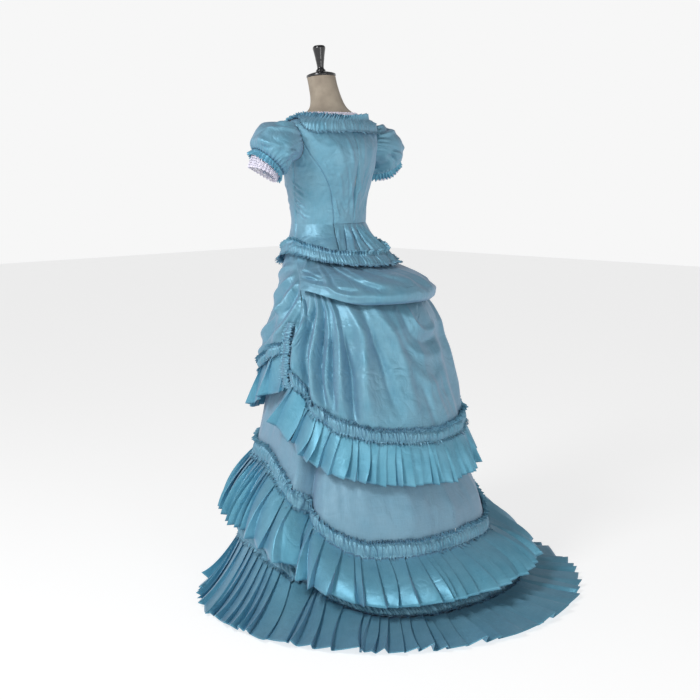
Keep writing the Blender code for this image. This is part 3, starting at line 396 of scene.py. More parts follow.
def taffeta(name, **changes):
    look = {**taffetaLook, **changes}
    made, tree, shader = startMaterial(name, {
        "IOR": 1.50, "Metallic": look["metallic"], "Specular IOR Level": look["specular"],
        "Anisotropic": 0.35, "Sheen Weight": 0.10, "Sheen Roughness": 0.35, "Sheen Tint": srgb("#C9D4F2")})
    uv = addNode(tree, "ShaderNodeUVMap", {"uv_map": "cut"})
    where = addNode(tree, "ShaderNodeTexCoord", output="Object")
    thread, slub = 1000 / look["threadMm"], 1000 / look["slubMm"]
    # slubs lie along the threads, so their noise is drawn out
    warp, weft = (noise(tree, addNode(tree, "ShaderNodeMapping", {"Vector": uv, "Scale": scale}), 1.0, 2.0)
                  for scale in ((thread, slub, 1), (slub, thread, 1)))
    threads = worked(tree, "ADD", warp, weft)
    blotch = noise(tree, where, 1000 / look["blotchMm"], 3.0, Roughness=0.6)
    crumple = noise(tree, where, 95.0, 4.0, Distortion=0.8)      # fine creases of a finger's width
    ripple = noise(tree, where, 17.0, 1.5, Distortion=0.9)       # sharp buckles of a hand's width
    folded = worked(tree, "ABSOLUTE", worked(tree, "SUBTRACT", ripple, 0.5))
    body = mixed(tree, mapped(tree, blotch, 0.0, 0.45, 0.35, 0.68), srgb(look["warp"]), srgb(look["deep"]))
    sheenFacing = addNode(tree, "ShaderNodeLayerWeight", {"Blend": 0.34}, output="Facing")
    turn = worked(tree, "MULTIPLY_ADD", sheenFacing, 0.50, 0.08)      # the weft shows as the cloth turns away: partly the real shot weave, partly a painted lilac sheen in the base colour
    shotAndSheen = mixed(tree, turn, body, srgb(look["weft"]))
    normal = bumped(tree, threads, 0.30, look["bumpMm"] / 1000)
    normal = bumped(tree, folded, look["buckle"], look["buckleMm"] / 1000, Normal=normal)
    normal = bumped(tree, crumple, look["crumple"], look["crumpleMm"] / 1000, Normal=normal)
    fleck = mapped(tree, threads, 0.90, 1.08, 0.7, 1.3)
    feed(tree, shader, {"Base Color": mixed(tree, 1.0, shotAndSheen, fleck, "MULTIPLY"),
                        "Roughness": mapped(tree, weft, look["roughness"] - 0.05, look["roughness"] + 0.09),
                        "Normal": normal})
    return made


def cottonLace():
    # machine-made cotton lace: matt, fuzzy thread, white with a breath of the dress's lilac
    made, tree, shader = startMaterial("cottonLace", {"Roughness": 0.85, "IOR": 1.50, "Sheen Weight": 0.3,
                                                      "Sheen Tint": srgb("#F4ECF8")})
    where = addNode(tree, "ShaderNodeTexCoord", output="Object")
    knots = addNode(tree, "ShaderNodeTexVoronoi", {"Vector": where, "Scale": 1000 / 1.6}, output="Distance")
    feed(tree, shader, {"Base Color": mixed(tree, knots, srgb("#F1EAF3"), srgb("#C3C4DC")),
                        "Normal": bumped(tree, knots, 0.6, 0.0006)})
    return made


def calico():
    # unbleached cotton calico stretched on the form: matt, warm grey, its weave drawn large enough to show
    made, tree, shader = startMaterial("unbleachedCalico", {"Roughness": 0.9, "IOR": 1.50,
                                                            "Sheen Weight": 0.12})
    where = addNode(tree, "ShaderNodeTexCoord", output="Object")
    weave = noise(tree, where, 1000 / 1.3, 1.0)
    stain = noise(tree, where, 1000 / 45, 4.0)
    tone = mapped(tree, worked(tree, "MULTIPLY_ADD", weave, 0.3, stain), 0.0, 1.0, 0.4, 0.9)
    feed(tree, shader, {"Base Color": mixed(tree, tone, srgb("#857A6D"), srgb("#A39888")),
                        "Normal": bumped(tree, weave, 0.4, 0.0003)})
    return made


def ebonisedWood():
    # turned beech, stained black and lacquered: dark, glossy, with a faint grain under the lacquer
    made, tree, shader = startMaterial("ebonisedBeech", {"IOR": 1.50, "Coat Weight": 0.6,
                                                         "Coat Roughness": 0.08})
    where = addNode(tree, "ShaderNodeTexCoord", output="Object")
    stretch = addNode(tree, "ShaderNodeMapping", {"Vector": where, "Scale": (1.0, 1.0, 0.12)})
    grain = noise(tree, stretch, 1000 / 3.0, 3.0)
    feed(tree, shader, {"Base Color": mixed(tree, grain, srgb("#0D0D10"), srgb("#1C1B1E")),
                        "Roughness": mapped(tree, grain, 0.18, 0.34)})
    return made


def blackIron():
    # cast iron with a black stove enamel: half matt, slightly pebbled
    made, tree, shader = startMaterial("blackedIron", {"IOR": 1.52, "Metallic": 0.0})
    pebble = noise(tree, addNode(tree, "ShaderNodeTexCoord", output="Object"), 1000 / 2.0, 2.0)
    feed(tree, shader, {"Base Color": mixed(tree, pebble, srgb("#141416"), srgb("#232327")),
                        "Roughness": mapped(tree, pebble, 0.38, 0.55),
                        "Normal": bumped(tree, pebble, 0.3, 0.0003)})
    return made


dressTaffeta = taffeta("shotTaffeta")
ruffleTaffeta = taffeta("shotTaffetaPleated", warp="#5FA6BD", deep="#2C86A1", roughness=0.43, buckle=0.25)
skirtTaffeta = taffeta("shotTaffetaGored", warp="#759FB3", weft="#97A8C4", deep="#5E92A9", roughness=0.52,
                       metallic=0.12, specular=0.45, buckle=0.35)
lace = cottonLace()
calicoCover = calico()
blackWood = ebonisedWood()
enamel = blackIron()
print("materials made")


# the form: rows of its body and neck as low, top and count; the cover has seams at the sides and the back
formLook = {"columns": 96, "body": (0.88, 1.42, 40), "neck": (1.43, 1.594, 50), "tuck": 0.0045,
            "tuckTo": 1.440, "seams": (90.0, 0.0, 180.0), "seamDepth": 0.0005, "seamWidth": 0.8}
capLook = {"place": (0.0, 0.008, 1.594), "rounds": 64}
# turned profiles: radius and height
capProfile = (
    (0.0, 0.0004), (0.0455, 0.0004), (0.0466, 0.0012), (0.0470, 0.003), (0.0470, 0.0065), (0.0455, 0.0082),
    (0.0400, 0.0106), (0.032, 0.0132), (0.023, 0.0158), (0.0160, 0.0175), (0.0, 0.0175),
)
finialProfile = (
    (0.0, 0.0179), (0.0150, 0.0179), (0.0156, 0.0195), (0.0152, 0.022), (0.0124, 0.0246), (0.0108, 0.027),
    (0.0106, 0.031), (0.0110, 0.036), (0.0118, 0.0425), (0.0124, 0.0445), (0.0124, 0.048), (0.0130, 0.050),
    (0.0141, 0.056), (0.0146, 0.058), (0.0146, 0.061), (0.0154, 0.065), (0.0168, 0.073), (0.0184, 0.081),
    (0.0197, 0.087), (0.0204, 0.0905), (0.0200, 0.093), (0.0186, 0.0962), (0.0160, 0.0985), (0.010, 0.0990),
    (0.0, 0.0990),
)


def makeForm():
    z = np.concatenate((np.linspace(*formLook["body"]), np.linspace(*formLook["neck"])))[:, None]
    angle = np.linspace(-90, 270, formLook["columns"], endpoint=False)[None, :]
    under = 1 - smooth((z - formLook["tuckTo"]) / 0.03)      # drawn in where cloth covers it
    out = -formLook["tuck"] * under + 0 * angle
    for seam in formLook["seams"]:
        apart = ((angle - seam + 180) % 360 - 180) / formLook["seamWidth"]
        out = out - formLook["seamDepth"] * np.exp(-apart * apart)
    points = offSurface(formPoint, angle, z + 0 * angle, out)
    low, top = (0 * edge + edge.mean(axis=1, keepdims=True) for edge in (points[:1], points[-1:]))
    torso = clothFrom("dressFormTorso", np.concatenate((low, points, top)), calicoCover, closed=True)
    standsFor(torso, ["form_torso"])


def turnedPiece(name, profile, node):
    turn = np.linspace(0, 2 * math.pi, capLook["rounds"], endpoint=False)
    radius, height = np.array(profile).T[..., None]
    local = np.stack((radius * np.cos(turn), radius * np.sin(turn), height + 0 * turn), -1)
    place = Matrix.Translation(capLook["place"]) @ Matrix.Rotation(math.radians(neckLean), 4, "X")
    turned = local @ np.array(place.to_3x3()).T + np.array(place.translation)
    standsFor(clothFrom(name, turned, blackWood, closed=True), [node])


makeForm()
turnedPiece("neckCap", capProfile, "form_cap")
turnedPiece("turnedFinial", finialProfile, "form_finial")
for nodeName in ("form_pole", "form_foot"):
    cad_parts[nodeName].data.materials.clear()
    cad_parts[nodeName].data.materials.append(enamel)
print("form made")


clothThick = 0.0009      # of the basque, the puff and the sleeves; most other pieces are single sheets
bodiceLook = {"columns": 48, "skirtRows": 22, "rows": 80, "seamWidth": 0.0023, "seamDepth": 0.0030,
              "radius": 0.14, "creased": 1.7, "uneven": 0.0013, "fine": 0.0005, "nudge": 0.4,
              "neckSideZ": 1.44}
# wrinkles of the close-fitting bodice: path of (angle, height), width and depth in mm
bodiceCreases = [
    ([(-8, 1.232), (4, 1.222), (17, 1.206)], 4.5, 1.5), ([(-8, 1.212), (2, 1.200), (14, 1.184)], 4.5, 1.6),
    ([(-8, 1.252), (8, 1.243), (26, 1.222)], 5.0, 1.2), ([(-8, 1.190), (4, 1.178), (18, 1.168)], 4.5, 1.4),
    ([(-6, 1.168), (8, 1.160), (24, 1.154)], 4.0, 1.2), ([(0, 1.275), (12, 1.262), (24, 1.252)], 6.0, 0.9),
    ([(14, 1.36), (22, 1.33), (34, 1.30)], 8.0, -1.1), ([(60, 1.40), (66, 1.34), (70, 1.27)], 12.0, 1.4),
    ([(74, 1.30), (80, 1.23), (84, 1.17)], 9.0, 1.3), ([(66, 1.22), (74, 1.18), (86, 1.16)], 6.0, -1.0),
    ([(84, 1.38), (86, 1.30), (85, 1.22)], 8.0, -1.2), ([(30, 1.42), (44, 1.38), (60, 1.36)], 10.0, 1.0),
    ([(-30, 1.22), (-44, 1.20), (-58, 1.19)], 6.0, 1.2),
    ([(-34, 1.19), (-50, 1.172), (-66, 1.165)], 5.0, 1.2),
    ([(-20, 1.255), (-34, 1.25), (-50, 1.262)], 7.0, 1.0),
    ([(-70, 1.17), (-80, 1.165), (-90, 1.168)], 5.0, 1.0),
    ([(-62, 1.36), (-74, 1.35), (-88, 1.352)], 9.0, -1.2),
]
bodiceCreases += [     # soft pulls across the back
    ([(76, 1.42), (80, 1.36), (82, 1.30)], 6, 1.7),
    ([(70, 1.33), (76, 1.28), (80, 1.22), (82, 1.16)], 4.6, -1.9),
    ([(78, 1.27), (85, 1.22), (88, 1.16)], 4.6, 1.9), ([(60, 1.30), (66, 1.26), (70, 1.20)], 5.5, 1.6),
    ([(88, 1.34), (90, 1.28), (89, 1.20)], 3.8, -1.7), ([(58, 1.22), (62, 1.18), (66, 1.15)], 3.8, 1.7),
    ([(40, 1.34), (48, 1.30), (58, 1.29)], 5.5, 1.5), ([(92, 1.30), (98, 1.24), (100, 1.17)], 4.6, 1.7),
]
bodiceCreases += [     # a fan of pulls from the side seam down towards the back
    ([(-10, z), (1, z - 0.013), (12 + 2 * (k % 3), z - 0.031)], 3.4 + 0.5 * (k % 2),
     (2.0, -2.3, 1.7, -1.5)[k % 4])
    for k, z in enumerate((1.268, 1.258, 1.246, 1.237, 1.226, 1.217, 1.206, 1.198, 1.187, 1.179))]
bodiceCreases += mirroredCreases(bodiceCreases, 0.85, 1.0)


def neckHeight(angle):
    dip = smooth(np.maximum(0.0, -np.sin(np.radians(angle))))
    return neckline["backZ"] - (neckline["backZ"] - neckline["frontZ"]) * dip


def armhole(turn):
    c, s = np.cos(np.radians(turn)), np.sin(np.radians(turn))
    reach = np.where(c > 0, armholeCut["back"], armholeCut["front"])
    return reach * c, armholeCut["centreZ"] + armholeCut["halfHeight"] * s


def hemOfPeplum(angle):
    return along(peplumHem, mirrored(angle))


def nudge(angle, z, way):
    # half a seam's gap aside, narrower than between the solids
    rings = peplumRings if np.ndim(z) == 0 and z <= waistZ else formRings
    return angle + way * np.degrees(seamGap / 2 / along(rings, z)[..., 1]) * bodiceLook["nudge"]


def heightsOf(low, top):
    below = list(np.linspace(low, waistZ, bodiceLook["skirtRows"] + 1)[:-1]) if low < waistZ - 0.01 else []
    return below + list(np.linspace(waistZ + seamGap / 2, top, bodiceLook["rows"]))


def seamLine(table, way, low, top):
    return [(float(nudge(along(table, z), z, way)), z) for z in heightsOf(low, top)]


def sideLine(way):
    low, top = float(hemOfPeplum(sideSeam)), float(armhole(armpit)[1])
    lean = float(armhole(armpit)[0]) - sideSeam
    return [(float(nudge(sideSeam + lean * smooth((z - waistZ) / (top - waistZ)), z, way)), z)
            for z in heightsOf(low, top)]


def filled(left, right, low, top):
    # rows of (angle, height) between four edges: level, and bent to the low and the top edge near them
    left, right, low, top = (np.array(edge, float) for edge in (left, right, low, top))
    v = np.linspace(0, 1, len(left))[:, None, None]
    u = np.linspace(0, 1, len(low))[None, :, None]
    level = (1 - u) * left[:, None] + u * right[:, None]
    lowBend = low[None] - (1 - u) * left[:1, None] - u * right[:1, None]
    topBend = top[None] - (1 - u) * left[-1:, None] - u * right[-1:, None]
    return level + (1 - v) ** 2 * lowBend + v ** 5 * topBend


def between(first, last, count, place=None):
    # an edge from first to last, at the heights that place gives for its angles
    made = []
    for t in np.linspace(0, 1, count + 1):
        angle, z = first[0] + (last[0] - first[0]) * t, first[1] + (last[1] - first[1]) * t
        made.append((angle, z if place is None or t in (0.0, 1.0) else float(place(angle))))
    return made


def pressedSeams(points):
    # the cloth dips to the stitching along each side edge of a panel
    across = np.linalg.norm(np.diff(points, axis=1), axis=2)
    from0 = np.concatenate((np.zeros((len(points), 1)), np.cumsum(across, axis=1)), axis=1)
    near = np.minimum(from0, from0[:, -1:] - from0)
    return -bodiceLook["seamDepth"] * np.exp(-(near / bodiceLook["seamWidth"]) ** 2)


def bodicePanel(name, places, node):
    angle, z = places[..., 0], places[..., 1]
    base = bodicePoint(angle, z, wall)
    radius = bodiceLook["radius"]
    soft = (bodiceLook["creased"] * creased(angle, z, bodiceCreases, radius)
            + bodiceLook["uneven"] * rumple(angle, z * 0.55, radius, 0.06, 11)
            + bodiceLook["fine"] * rumple(angle, z, radius, 0.022, 13))
    worn = bodicePoint(angle, z, wall + soft * smooth((1.455 - z) / 0.02) + pressedSeams(base))
    sewn(clothFrom(name, worn, dressTaffeta), [node])


def flipped(places):
    other = places[:, ::-1].copy()
    other[..., 0] = 180.0 - other[..., 0]
    return other


def toShoulder(line, sign):
    # a princess seam's line, on round the armhole to the shoulder
    turns = np.linspace(0, 90, 9)[1:-1]
    turns = turns if sign > 0 else 180.0 - turns
    shoulderZ = armholeCut["centreZ"] + armholeCut["halfHeight"]
    return line + [tuple(float(v) for v in armhole(t)) for t in turns] + [
        (float(nudge(0, bodiceLook["neckSideZ"], sign)), shoulderZ)]


def neckEdge(sign, centre):
    shoulderZ = armholeCut["centreZ"] + armholeCut["halfHeight"]
    inner = (float(nudge(0, bodiceLook["neckSideZ"], sign)), neckline["backZ"])
    edge = between((centre, float(neckHeight(centre))), inner, bodiceLook["columns"] - 3, neckHeight)
    return edge + [(inner[0], inner[1] + (shoulderZ - inner[1]) * t) for t in (0.33, 0.67, 1.0)]


def makeBodice():
    topZ = armholeCut["centreZ"]
    waist = waistZ + seamGap / 2
    columns = bodiceLook["columns"]
    seam = seamLine(backPrincess, 1, waist, topZ)
    side = toShoulder(seam, 1)
    centre = [(float(nudge(90.0, 1.2, -1)), z) for z in np.linspace(waist, neckline["backZ"], len(side))]
    back = filled(centre, side, between(centre[0], seam[0], columns), neckEdge(1, centre[0][0]))[:, ::-1]
    bodicePanel("bodiceBackLeft", back, "bodice_back_left")
    bodicePanel("bodiceBackRight", flipped(back), "bodice_back_right")

    seam = seamLine(frontPrincess, -1, float(hemOfPeplum(-58)), topZ)
    side = toShoulder(seam, -1)
    heights = list(np.linspace(float(hemOfPeplum(-90)), waistZ, bodiceLook["skirtRows"] + 1)[:-1])
    heights += list(np.linspace(waist, neckline["frontZ"], len(side) - len(heights)))
    centre = [(-90.0, z) for z in heights]
    half = filled(centre, side, between(centre[0], seam[0], columns, hemOfPeplum), neckEdge(-1, -90.0))
    other = half[:, :0:-1].copy()
    other[..., 0] = -180.0 - other[..., 0]
    bodicePanel("bodiceFront", np.concatenate((other, half), axis=1), "bodice_front")

    for name, node, seamTable, way, turns in (
            ("bodiceSideBack", "bodice_side_back", backPrincess, 1, (0, armpit)),
            ("bodiceSideFront", "bodice_side_front", frontPrincess, -1, (180, 360 + armpit))):
        low = float(hemOfPeplum(along(seamTable, 1.02)))
        seam, side = seamLine(seamTable, -way, low, topZ), sideLine(way)
        arc = [tuple(float(v) for v in armhole(t)) for t in np.linspace(*turns, columns + 1)[1:-1]]
        hem = between(seam[0], side[0], columns, hemOfPeplum)
        grid = filled(seam, side, hem, [seam[-1]] + arc + [side[-1]])[:, ::-way]
        bodicePanel(name + "Left", grid, node + "_left")
        bodicePanel(name + "Right", flipped(grid), node + "_right")


basqueLook = {"columns": 150, "rows": 34, "fold": 0.008, "pleats": 2.0, "opens": 0.10, "radius": 0.13}
basqueCreases = [
    ([(66, 1.18), (61, 1.11), (55, 1.07), (49, 1.00)], 5.0, 4.5),
    ([(75, 1.18), (70, 1.105), (63, 1.06), (61, 1.02)], 2.6, -10.0),
    ([(80, 1.18), (76, 1.105), (70, 1.06), (68, 1.01)], 6.6, 14.0),
    ([(84, 1.18), (83, 1.11), (79, 1.06), (76, 1.00)], 2.6, -11.0),
    ([(88, 1.18), (87, 1.10), (87, 1.06), (86, 0.99)], 6.2, 10.0),
    ([(93, 1.18), (94, 1.11), (95, 1.06), (96, 0.98)], 2.6, -14.0),
    ([(98, 1.18), (101, 1.10), (104, 1.06), (107, 0.99)], 6.6, 13.0),
    ([(103, 1.18), (108, 1.11), (112, 1.07), (116, 1.00)], 2.6, -10.0),
    ([(108, 1.18), (114, 1.11), (119, 1.07), (124, 1.00)], 5.4, 10.0),
]


def basquePoint(angle, z, out):
    # two box pleats folded back like a flat bow, opening from nothing at the waist
    start = along(backPrincess, np.minimum(z, waistZ))
    t = (mirrored(angle) - start) / (90.0 - start)
    wave = 0.5 - 0.5 * np.cos(2 * np.pi * basqueLook["pleats"] * t)
    fold = basqueLook["fold"] * smooth((waistZ - z) / basqueLook["opens"]) * wave
    return bodicePoint(angle, z, out + np.where(t > 0, fold, 0.0))


def makeBasque():
    low = float(hemOfPeplum(54))
    z = np.linspace(low, waistZ + seamGap / 5, basqueLook["rows"])[:, None]
    start = nudge(along(backPrincess, z), 1.1, 1)
    share = np.linspace(0, 1, basqueLook["columns"])[None, :]
    angle = start + (180.0 - 2 * start) * share
    z = z - (low - hemOfPeplum(angle)) * (waistZ - z) / (waistZ - low)
    grow = smooth((waistZ + 0.004 - z) / 0.05)
    points = basquePoint(angle, z, wall + creased(angle, z, basqueCreases, basqueLook["radius"]) * grow)
    piece = clothFrom("basqueBack", points, dressTaffeta, thick=clothThick)
    sewn(piece, ["basque_back"])


makeBodice()
makeBasque()
print("bodice made")


gatherLook = {"uneven": 0.62, "size": (0.35, 1.1), "wave": (0.4, 1.2), "skew": 0.24}


def ruched(name, base, closed, look, gathers, seed):
    # a gathered band over base rows, low edge first: a puffed middle between stitch lines, with frilled edges
    rows, columns = base.shape[:2]
    chance = np.random.default_rng(seed)
    edges = shares(gathers, gatherLook["uneven"], seed)
    at = np.linspace(0, 1, columns, endpoint=not closed)
    slot = np.clip(np.searchsorted(edges, at, side="right") - 1, 0, gathers - 1)
    phase = (at - edges[slot]) / (edges[slot + 1] - edges[slot])
    size = gatherLook["size"][0] + gatherLook["size"][1] * chance.random(gathers)[slot]
    v = np.linspace(0, 1, rows)[:, None]
    skew = gatherLook["skew"] * np.sin(v * 5.0 + slot * 1.7) * np.sin(np.pi * phase)
    ridge = np.sin(np.pi * np.clip(phase + skew, 0, 1)) ** 0.8
    edge = look["edge"]
    puff = np.sin(np.pi * np.clip((v - edge) / (1 - 2 * edge), 0, 1)) ** 0.55
    low, high = np.clip(1 - v / edge, 0, 1), np.clip((v - 1 + edge) / edge, 0, 1)
    flare = low + high
    wave = np.sin(2 * np.pi * (phase + 0.35 * low - 0.2 * high))
    wave = wave * (gatherLook["wave"][0] + gatherLook["wave"][1] * chance.random(gathers)[slot])
    middle = look["lift"] * puff + look["depth"] * size * ridge * (0.45 + 0.55 * puff)
    frill = look["edgeLift"] * flare ** 1.2 * (1.0 + 0.75 * wave) + look["depth"] * 0.5 * ridge
    out = look["clear"] + np.where(flare > 0, frill, middle)
    ragged = look["scallop"] * (np.cos(2 * np.pi * phase + 0.6) + 0.6 * chance.uniform(-1, 1, gathers)[slot])
    points = base + gridNormals(base, closed) * out[..., None]
    points = points + unit(np.gradient(base, axis=0)) * (ragged * (high - low))[..., None]
    return clothFrom(name, points, dressTaffeta, closed=closed)


# a knife pleat: share of its width and share of its depth
pleatProfile = (
    (0.0, 0.0), (0.06, 0.04), (0.28, 0.36), (0.52, 0.72), (0.70, 0.975), (0.735, 1.0), (0.765, 0.96),
    (0.87, 0.42), (0.965, 0.03),
)
pleatLook = {"size": (0.42, 0.95), "widened": 0.45, "bend": 0.24, "spread": 0.34}
ruffleThick = 0.0008
ruffleCrisp = 38


def pleated(name, curveAt, span, closed, look, seed):
    # knife pleats: curveAt(angle, v) is the flat ruffle, v from 0 at its stitched top to 1 at its free edge
    chance = np.random.default_rng(seed)
    count = look["pleats"]
    edges = span[0] + (span[1] - span[0]) * shares(count, look["uneven"], seed)
    steps = len(pleatProfile)
    u, h = np.tile(np.array(pleatProfile).T, count)

    def eachPleat(values):
        return np.repeat(values, steps)

    def acrossPleats(values):
        # values at the boundaries between pleats run on from one to the next
        if closed:
            values[-1] = values[0]
        return eachPleat(values[:-1]) * (1 - u) + eachPleat(values[1:]) * u

    start, width = eachPleat(edges[:-1]), eachPleat(np.diff(edges))
    wide = eachPleat((chance.random(count) < look["opened"]) * chance.uniform(0.5, 1.0, count))
    size = eachPleat(pleatLook["size"][0] + pleatLook["size"][1] * chance.random(count))
    size = size * (1 + pleatLook["widened"] * wide)
    lean = acrossPleats(look["lean"] * chance.uniform(-1, 1, count + 1))
    bend = eachPleat(chance.uniform(-1, 1, count)) * pleatLook["bend"] * h
    reach = 1 + (eachPleat(chance.uniform(-1, 1, count)) * look["rag"] + look["saw"]) * h - look["saw"] / 2
    curl = acrossPleats(look["curl"] * chance.uniform(0, 1, count + 1))
    if not closed:      # the last column is the flat end of the last pleat
        ends = ((start, edges[-1]), (width, width[-1]), (u, 0), (h, 0), (wide, 0), (size, 1), (lean, 0),
                (bend, 0), (reach, 1), (curl, 0))
        start, width, u, h, wide, size, lean, bend, reach, curl = (np.append(x, end) for x, end in ends)
    v = np.linspace(0, 1, look["rows"])[:, None]
    opened = v ** look["opens"]
    overlap = look["topOverlap"] * (1 - opened) + (look["lowOverlap"] - pleatLook["spread"] * wide) * opened
    angle = start + width * (u + overlap * h + lean * opened + bend * np.sin(np.pi * v))
    depth = look["topDepth"] * (1 - opened) + look["lowDepth"] * opened * size
    out = look["clear"] + depth * h + curl * opened
    v = np.clip(v * reach, 0, 1.05) + 0 * angle
    ways = unit(np.cross(curveAt(angle, v - 0.02) - curveAt(angle, v + 0.02),
                         curveAt(angle - 0.15, v) - curveAt(angle + 0.15, v)))
    points = (curveAt(angle, v) + ways * out[..., None])[::-1]
    points[..., 2] = np.maximum(points[..., 2], look.get("floor", 0.0))
    return clothFrom(name, points, ruffleTaffeta, closed=closed, thick=ruffleThick, crisp=ruffleCrisp)


def bezierThrough(top, middle, low):
    # a smooth curve from top to low that passes through middle half way
    control = 2 * middle - (top + low) / 2

    def at(v):
        v = v[..., None]
        return (1 - v) ** 2 * top + 2 * v * (1 - v) * control + v * v * low
    return at


# heights of the trim on the underskirt, behind and in front, and the turn between the two
trimTurn = (50.0, -20.0)
tierHeights = {"bandTop": (0.222, 0.455), "bandLow": (0.176, 0.410), "hem": (0.074, 0.240)}
hemHeights = {"bandTop": (0.060, 0.208), "bandLow": (0.036, 0.164), "cloth": 0.006}
train = {"centre": 0.300, "side": 0.628, "front": 0.545, "back": 0.592, "z": 0.0008}


def turnShare(angle):
    return smooth((trimTurn[0] - mirrored(angle)) / (trimTurn[0] - trimTurn[1]))


def trimHeight(pair, angle):
    return pair[0] + (pair[1] - pair[0]) * turnShare(angle)


def hemOfUnderskirt(angle):
    return trimHeight(hemHeights["bandLow"], angle) - hemHeights["cloth"]


goreLook = {"columnsPerDegree": 0.85, "rows": 84, "seamDepth": 0.0012, "seamWidth": 0.003, "topZ": 1.092,
            "gap": 0.07, "closer": 1.25, "radius": 0.36, "seamRadius": 0.38, "uneven": 0.0010}
# the gores from one seam to the next, in degrees
goreSeams = (-135.0, -45.0, 17.0, 90.0, 163.0, 225.0)
gores = (("Front", "front"), ("SideLeft", "side_left"), ("BackLeft", "back_left"),
         ("BackRight", "back_right"), ("SideRight", "side_right"))
# soft flutes that hang down the gores: (angle, height) path, width and depth in mm
goreCreases = [
    ([(26, 0.50), (27, 0.36), (28, 0.24)], 14, 5), ([(34, 0.48), (36, 0.35), (37, 0.23)], 9, -4),
    ([(44, 0.50), (46, 0.38), (47, 0.24)], 16, 5), ([(55, 0.46), (57, 0.34), (60, 0.24)], 8, -3),
    ([(63, 0.50), (66, 0.36), (68, 0.24)], 15, 4), ([(76, 0.48), (78, 0.36), (79, 0.23)], 9, -3.5),
    ([(86, 0.50), (89, 0.36), (92, 0.24)], 16, 4.5), ([(99, 0.46), (103, 0.34), (108, 0.25)], 8, -3),
    ([(112, 0.50), (116, 0.36), (118, 0.24)], 15, 4.5), ([(124, 0.48), (128, 0.34), (131, 0.25)], 9, -4),
    ([(2, 0.62), (-2, 0.54), (-4, 0.46)], 12, 6), ([(10, 0.60), (8, 0.50), (6, 0.38)], 10, 5),
    ([(-10, 0.64), (-14, 0.56), (-17, 0.47)], 9, -5), ([(-22, 0.64), (-26, 0.56), (-30, 0.47)], 14, 6),
    ([(-36, 0.62), (-40, 0.54), (-44, 0.46)], 9, -4), ([(-52, 0.62), (-56, 0.54), (-58, 0.46)], 14, 5),
    ([(-68, 0.62), (-70, 0.54), (-71, 0.46)], 9, -4), ([(-82, 0.62), (-84, 0.54), (-84, 0.46)], 14, 5),
    ([(52, 0.30), (60, 0.27), (70, 0.25)], 5, 1.6), ([(90, 0.31), (97, 0.27), (104, 0.26)], 5, 1.5),
]
goreCreases += mirroredCreases(goreCreases[10:18], 0.9, -1.5)


def wornUnderskirt(angle, z, out=0.0):
    radius = goreLook["radius"]
    folds = creased(angle, z, goreCreases, radius) * smooth((z - 0.06) / 0.1)
    return underskirtPoint(angle, z, out + folds + goreLook["uneven"] * rumple(angle, z, radius, 0.09, 5))


def makeGores():
    for (name, node), first, last in zip(gores, goreSeams, goreSeams[1:]):
        first, last = first + goreLook["gap"], last - goreLook["gap"]
        angle = np.linspace(first, last, int((last - first) * goreLook["columnsPerDegree"]) + 2)[None, :]
        low = hemOfUnderskirt(angle)
        share = np.linspace(0, 1, goreLook["rows"])[:, None] ** goreLook["closer"]
        z = low + (goreLook["topZ"] - low) * share
        near = np.radians(np.minimum(angle - first, last - angle)) * goreLook["seamRadius"] + 0 * z
        seam = -goreLook["seamDepth"] * np.exp(-(near / goreLook["seamWidth"]) ** 2)
        piece = clothFrom("underskirt" + name, wornUnderskirt(angle + 0 * z, z, seam), skirtTaffeta)
        sewn(piece, ["underskirt_" + node])


bandLook = {"edge": 0.19, "clear": 0.0012, "lift": 0.0042, "depth": 0.0050, "edgeLift": 0.0088,
            "scallop": 0.0052, "rows": 13, "over": 0.004, "columns": 5}
# how far a band strays from a level line: depth, radius of the skirt there and length of the bends
skirtWander = (0.0022, 0.4, 0.11)
overWander = (0.0018, 0.3, 0.09)


def makeRingBand(name, node, heights, gathers, seed):
    angle = np.linspace(-90, 270, gathers * bandLook["columns"], endpoint=False)[None, :]
    low = trimHeight(heights["bandLow"], angle) - bandLook["over"]
    top = trimHeight(heights["bandTop"], angle) + bandLook["over"]
    wander = skirtWander[0] * rumple(angle, 0, *skirtWander[1:], seed)
    v = np.linspace(0, 1, bandLook["rows"])[:, None]
    base = wornUnderskirt(angle + 0 * v, low + (top - low) * v + wander)
    piece = ruched(name, base, True, bandLook, gathers, seed)
    sewn(piece, [node])


tierLook = {"pleats": 74, "rows": 18, "uneven": 0.52, "lean": 0.44, "rag": 0.024, "saw": 0.02, "opened": 0.30,
            "opens": 1.1, "clear": 0.0016, "topOverlap": 0.45, "lowOverlap": 0.12, "topDepth": 0.0050,
            "lowDepth": 0.0260, "curl": 0.014}
hemLook = {"pleats": 76, "rows": 22, "uneven": 0.46, "lean": 0.38, "rag": 0.030, "saw": 0.075, "opened": 0.18,
           "opens": 0.8, "clear": 0.0010, "topOverlap": 0.42, "lowOverlap": 0.20, "topDepth": 0.0050,
           "lowDepth": 0.0200, "curl": 0.006, "floor": 0.0016}

# how the ruffles fall: the tier ruffle stands out from the skirt by its flare, behind and in front
tierFall = {"flare": (0.075, 0.042), "tuck": 0.002, "level": 0.25, "middle": 0.56, "belly": 0.012}
hemFall = {"tuck": 0.004, "sag": 0.36}


def tierCurve(angle, v):
    top = underskirtPoint(angle, trimHeight(tierHeights["bandLow"], angle) + tierFall["tuck"])
    low = trimHeight(tierHeights["hem"], angle)
    way = outward(underskirtPoint, angle, tierFall["level"])
    end = underskirtPoint(angle, np.maximum(low, hemOfUnderskirt(angle)))
    end = end + way * trimHeight(tierFall["flare"], angle)[..., None]
    end[..., 2] = low
    middle = top + (end - top) * tierFall["middle"] + way * tierFall["belly"]
    middle[..., 2] = (top[..., 2] + low) / 2
    return bezierThrough(top, middle, end)(v)


